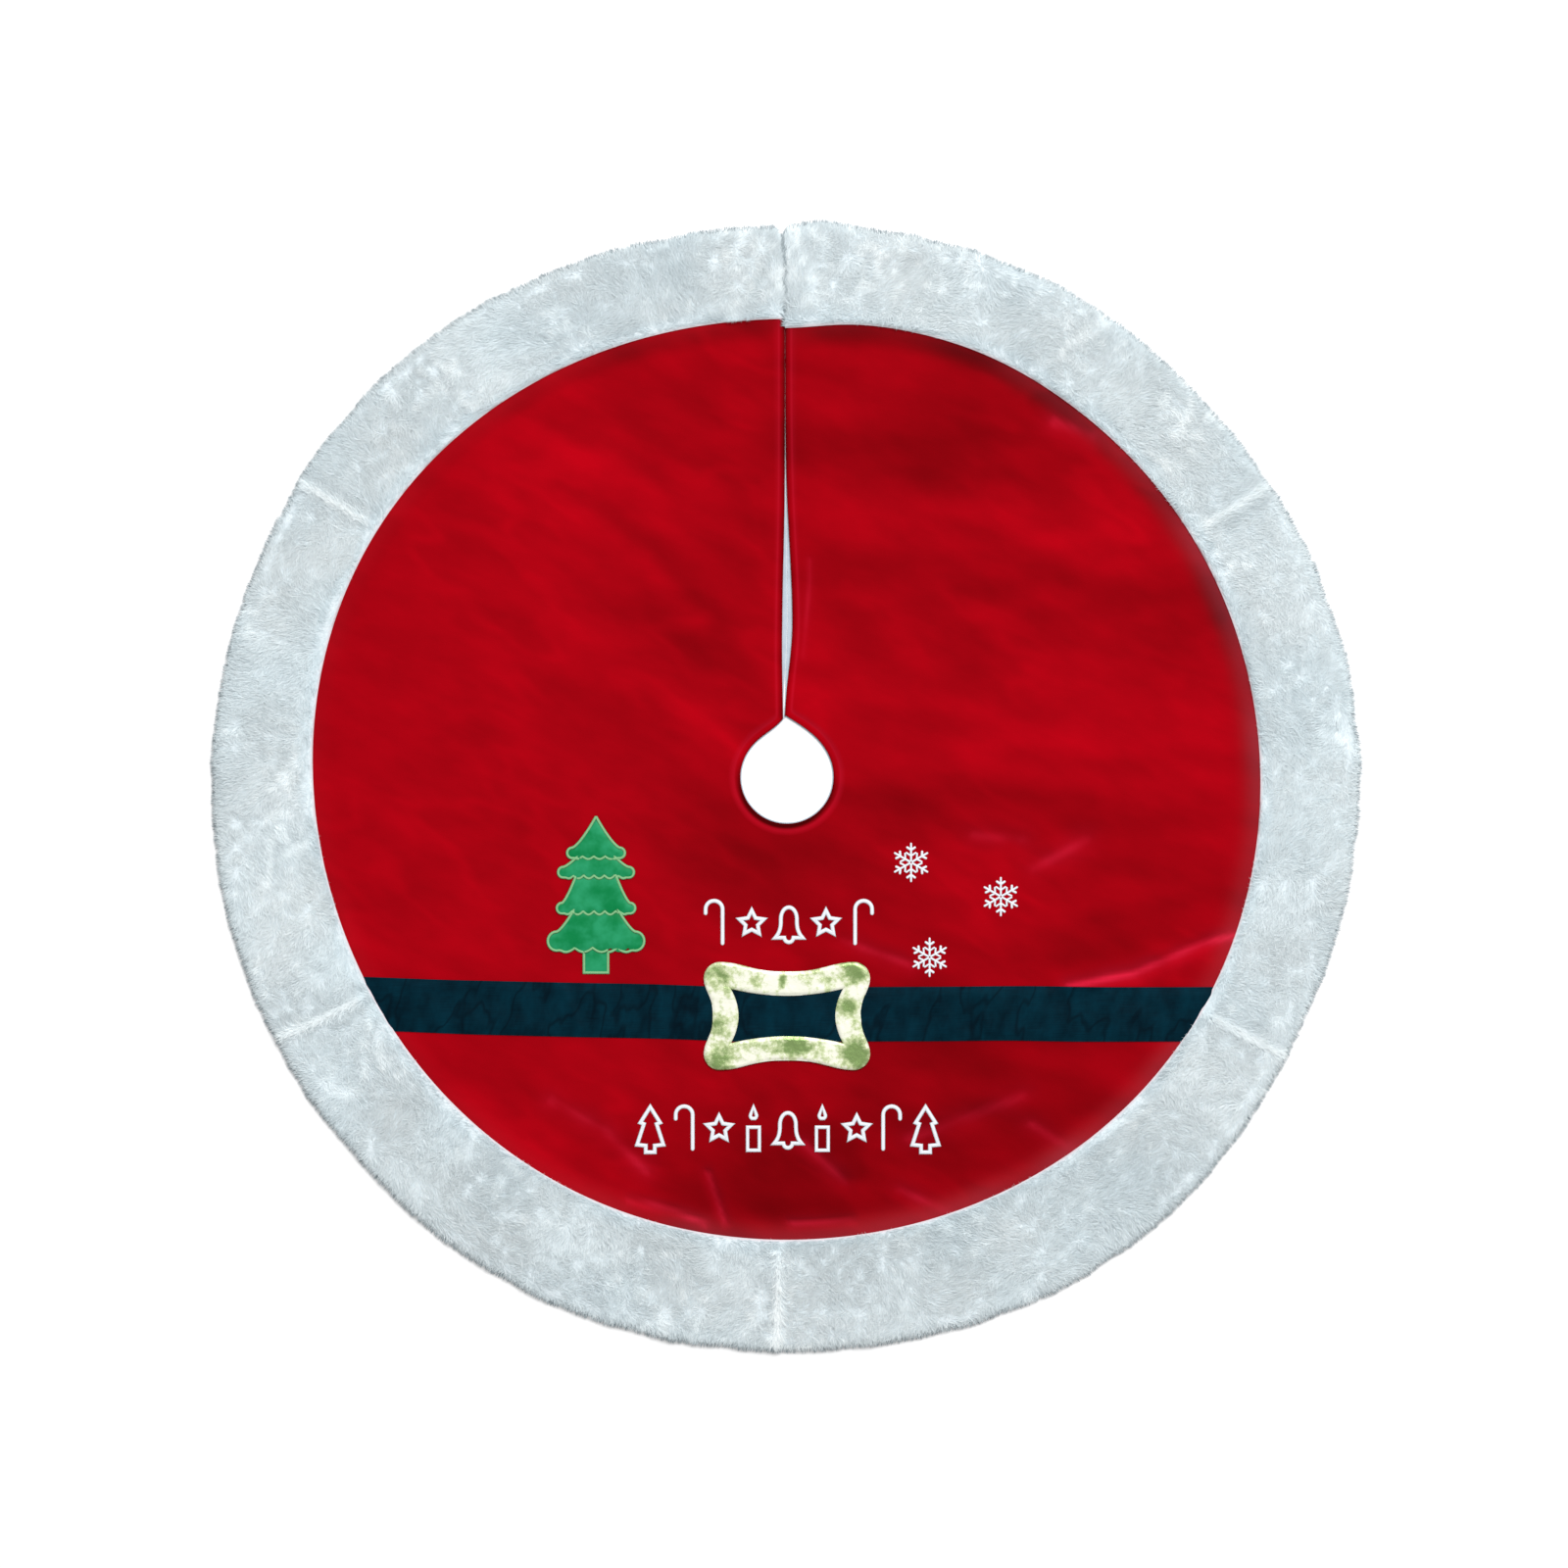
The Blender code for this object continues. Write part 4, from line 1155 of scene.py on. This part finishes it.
def add_belt():
    """Ribbon across the front: it follows the velour, ripples a little and has firm edges."""
    low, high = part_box("belt_ribbon")[0][1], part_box("belt_ribbon")[1][1]
    s, t = fractions(221, 21)
    rise = 0.022 * np.maximum(SEAM_RADIUS * (1 - 2 * s) - 0.06, 0)
    y = low + (high - low) * t + rise + 1.0 * MM * noise(s, 0 * s, 0.11, 51)
    reach = np.full(s.shape, SEAM_RADIUS)
    for side in (-1, 1):
        for _ in range(4):
            half = np.sqrt(reach ** 2 - y ** 2)
            reach = seam_radius(np.arctan2(y, side * half)) + 3 * MM
        if side < 0:
            left = -half
    x = left + (half - left) * s
    ripple = 0.5 * noise(x, y, 0.028, 52) + 0.25 * noise(x + 0.6 * y, y, 0.011, 53)
    for crease_x, lean in ((-0.300, 0.35), (-0.215, -0.4), (0.165, 0.5), (0.215, -0.2), (0.330, 0.3)):
        ripple = ripple + 0.9 * hump(x - crease_x - lean * (y - low), 3.5 * MM)
    border = np.minimum(t, 1 - t) * (high - low)
    welt = 0.25 * hump(border - 1.2 * MM, 0.9 * MM)
    free = smooth(border, 0, 9 * MM)
    base = velour_face(x, y) + 0.1 * MM
    top = base + MM * (0.55 + welt + (0.6 + ripple) * free)
    under = base + MM * np.maximum((0.5 + ripple) * free, 0)
    belt = make_slab("belt_ribbon_cloth", x, y, top, under, belt_satin, 60)
    settle(belt, "skirt", "belt_satin", "belt_ribbon")


BUCKLE_CORNER = (0.0710, 0.0400)      # middle of the rounding of its upper right corner
BUCKLE_ROUND = 17.5 * MM
BUCKLE_BOW = (9.6 * MM, 10.2 * MM)
WINDOW_CORNER = (0.0595, 0.0288)
WINDOW_BOW = (8.0 * MM, 7.2 * MM)
BUCKLE_STEPS = 50                     # points along an eighth of its outline and window
FOIL_SHADE_AND_REFLECTION = (   # places where olive is painted on the foil as reflection and shade where it turns from the light: middle x, y and radius in mm, how much
    (-70, 46, 15, 0.55), (72, 45, 14, 0.55), (-68, -42, 19, 0.65), (74, -42, 16, 0.90), (-5, 39, 5, 0.8),
    (-5, 31, 4, 0.7), (8, -30, 12, 0.75), (20, -33, 9, 0.5), (-74, -10, 8, 0.45), (64, 12, 8, 0.45),
    (-34, 36, 6, 0.4), (46, 38, 8, 0.4))


def bowed_loop(corner, radius, bow, swell):
    """Closed outline whose sides bow in, its corners rounded about the corner by the radius.

    u runs from 0 in the middle of a side to 1 at its corner, where the side stands out by
    radius - bow * (1 - swell(u)). Both halves of the upper right quarter are put in even
    steps, and the quarter is mirrored both ways.
    """
    u = np.linspace(0, 1, 30)
    inset = 1 - swell(u)
    top = pairs(corner[0] * u, corner[1] + radius - bow[1] * inset)
    side = pairs(corner[0] + radius - bow[0] * inset, corner[1] * u)[::-1]
    rounding = arc(corner, radius, 90, 0, 23) if radius else top[-1:]
    quarter = []
    for line in (np.vstack([top, rounding[1:12]]), np.vstack([rounding[-12:], side[1:]])):
        run = run_along(line)
        quarter.append(points_at(np.linspace(0, run[-1], BUCKLE_STEPS), run, line))
    quarter = np.vstack([quarter[0][:-1], quarter[1]])
    right = np.vstack([quarter, quarter[-2::-1] * np.array([1.0, -1.0])])
    return np.vstack([right, -right[1:-1]])


def add_buckle():
    """Crumpled foil plate over the belt: a ring from its window to its outline, edges turned down.

    The sides of the outline bow in as raised cosines to the power 1.5, the window's as parabolas.
    """
    centre = node_centre("buckle")
    cosine = lambda u: ((1 - np.cos(math.pi * u)) / 2) ** 1.5
    outline = bowed_loop(BUCKLE_CORNER, BUCKLE_ROUND, BUCKLE_BOW, cosine)
    window = bowed_loop(WINDOW_CORNER, 0, WINDOW_BOW, lambda u: u * u)
    count = 22
    s = np.linspace(0, 1, count)
    xy = centre + window[:, None] * (1 - s)[None, :, None] + outline[:, None] * s[None, :, None]
    x, y = xy[..., 0], xy[..., 1]
    border = np.minimum(s, 1 - s)[None] * np.linalg.norm(outline - window, axis=1)[:, None]
    crumple = 0.45 * noise(x, y, 0.013, 61) + 0.40 * np.abs(noise(x + 0.4 * y, y, 0.009, 62))
    crumple = crumple + 0.25 * np.abs(noise(x, y, 0.0045, 63))
    plump = 1.3 * smooth(border, 0, 3.5 * MM)
    base = velour_face(x, y) + 1.3 * MM
    top = base + MM * (0.35 + plump + crumple * smooth(border, 0.5 * MM, 4 * MM))
    points = np.concatenate([np.stack([x, y, z], -1) for z in (top, base)], 1).reshape(-1, 3)
    # Each row runs over the top from window to outline, and back under it.
    order = np.concatenate([np.arange(count), np.arange(2 * count - 1, count - 1, -1)])
    numbers = np.arange(len(outline))[:, None] * 2 * count + order[None]
    after = np.roll(numbers, -1, 0)
    faces = np.stack([numbers, np.roll(numbers, -1, 1), np.roll(after, -1, 1), after], -1).reshape(-1, 4)
    # Painted reflection and shade on the foil, gathered from the listed places.
    turned = 0 * x
    for middle_x, middle_y, radius, amount in FOIL_SHADE_AND_REFLECTION:
        away = np.hypot(x / MM - middle_x, (y - centre[1]) / MM - middle_y)
        turned = turned + amount * hump(away, radius)
    marks = {"turned": np.concatenate([turned, turned], 1)}
    buckle = make_piece("buckle_foil", points, faces, pale_gold_foil, marks=marks, sharp=70)
    settle(buckle, "skirt", "gold_foil", "buckle")


# ---- setting

def add_camera():
    """Long lens straight above the skirt, +Y up in the picture."""
    data = bpy.data.cameras.new("camera")
    height, half_width, centre = 6.0, 0.8345, (-0.0031, 0.0021)
    data.lens = data.sensor_width / 2 / (half_width / height)
    data.clip_end = 100
    camera = bpy.data.objects.new("camera", data)
    camera.location = (*centre, height)
    bpy.context.scene.collection.objects.link(camera)
    bpy.context.scene.camera = camera


def add_lights():
    """White surroundings and one large soft light from beyond the slit."""
    world = bpy.data.worlds.new("white_room")
    bpy.context.scene.world = world
    world.use_nodes = True
    background = world.node_tree.nodes["Background"]
    background.inputs["Color"].default_value = (1, 1, 1, 1)
    background.inputs["Strength"].default_value = 0.60
    light = bpy.data.lights.new("soft_light", "AREA")
    light.shape, light.size, light.energy = "SQUARE", 4.0, 620
    lamp = bpy.data.objects.new("soft_light", light)
    azimuth, elevation, distance = math.radians(68), math.radians(48), 8.0
    lamp.location = (distance * math.cos(azimuth) * math.cos(elevation),
                     distance * math.sin(azimuth) * math.cos(elevation), distance * math.sin(elevation))
    lamp.rotation_euler = (math.pi / 2 - elevation, 0, azimuth + math.pi / 2)
    bpy.context.scene.collection.objects.link(lamp)
    bpy.context.scene.view_settings.view_transform = "Standard"


def add_floor():
    """Plain floor under the skirt."""
    mesh = bpy.data.meshes.new("floor")
    half, depth = 12.0, -0.1 * MM
    corners = [(x * half, y * half, depth) for x, y in ((-1, -1), (1, -1), (1, 1), (-1, 1))]
    mesh.from_pydata(corners, [], [(0, 1, 2, 3)])
    mesh.materials.append(pale_floor)
    floor = bpy.data.objects.new("floor", mesh)
    bpy.context.scene.collection.objects.link(floor)


add_camera()
add_lights()
add_floor()
for sector in SECTORS:
    add_lining(sector)
    add_velour(sector)
for panel in PANELS:
    add_plush_panel(panel)
add_belt()
add_buckle()
add_tree()
for node in sorted(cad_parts):
    if node.startswith("snowflake"):
        add_snowflake(node)
    if "_ornament_" in node:
        add_ornament(node, flip=node in ("upper_ornament_5_cane", "lower_ornament_8_cane"))
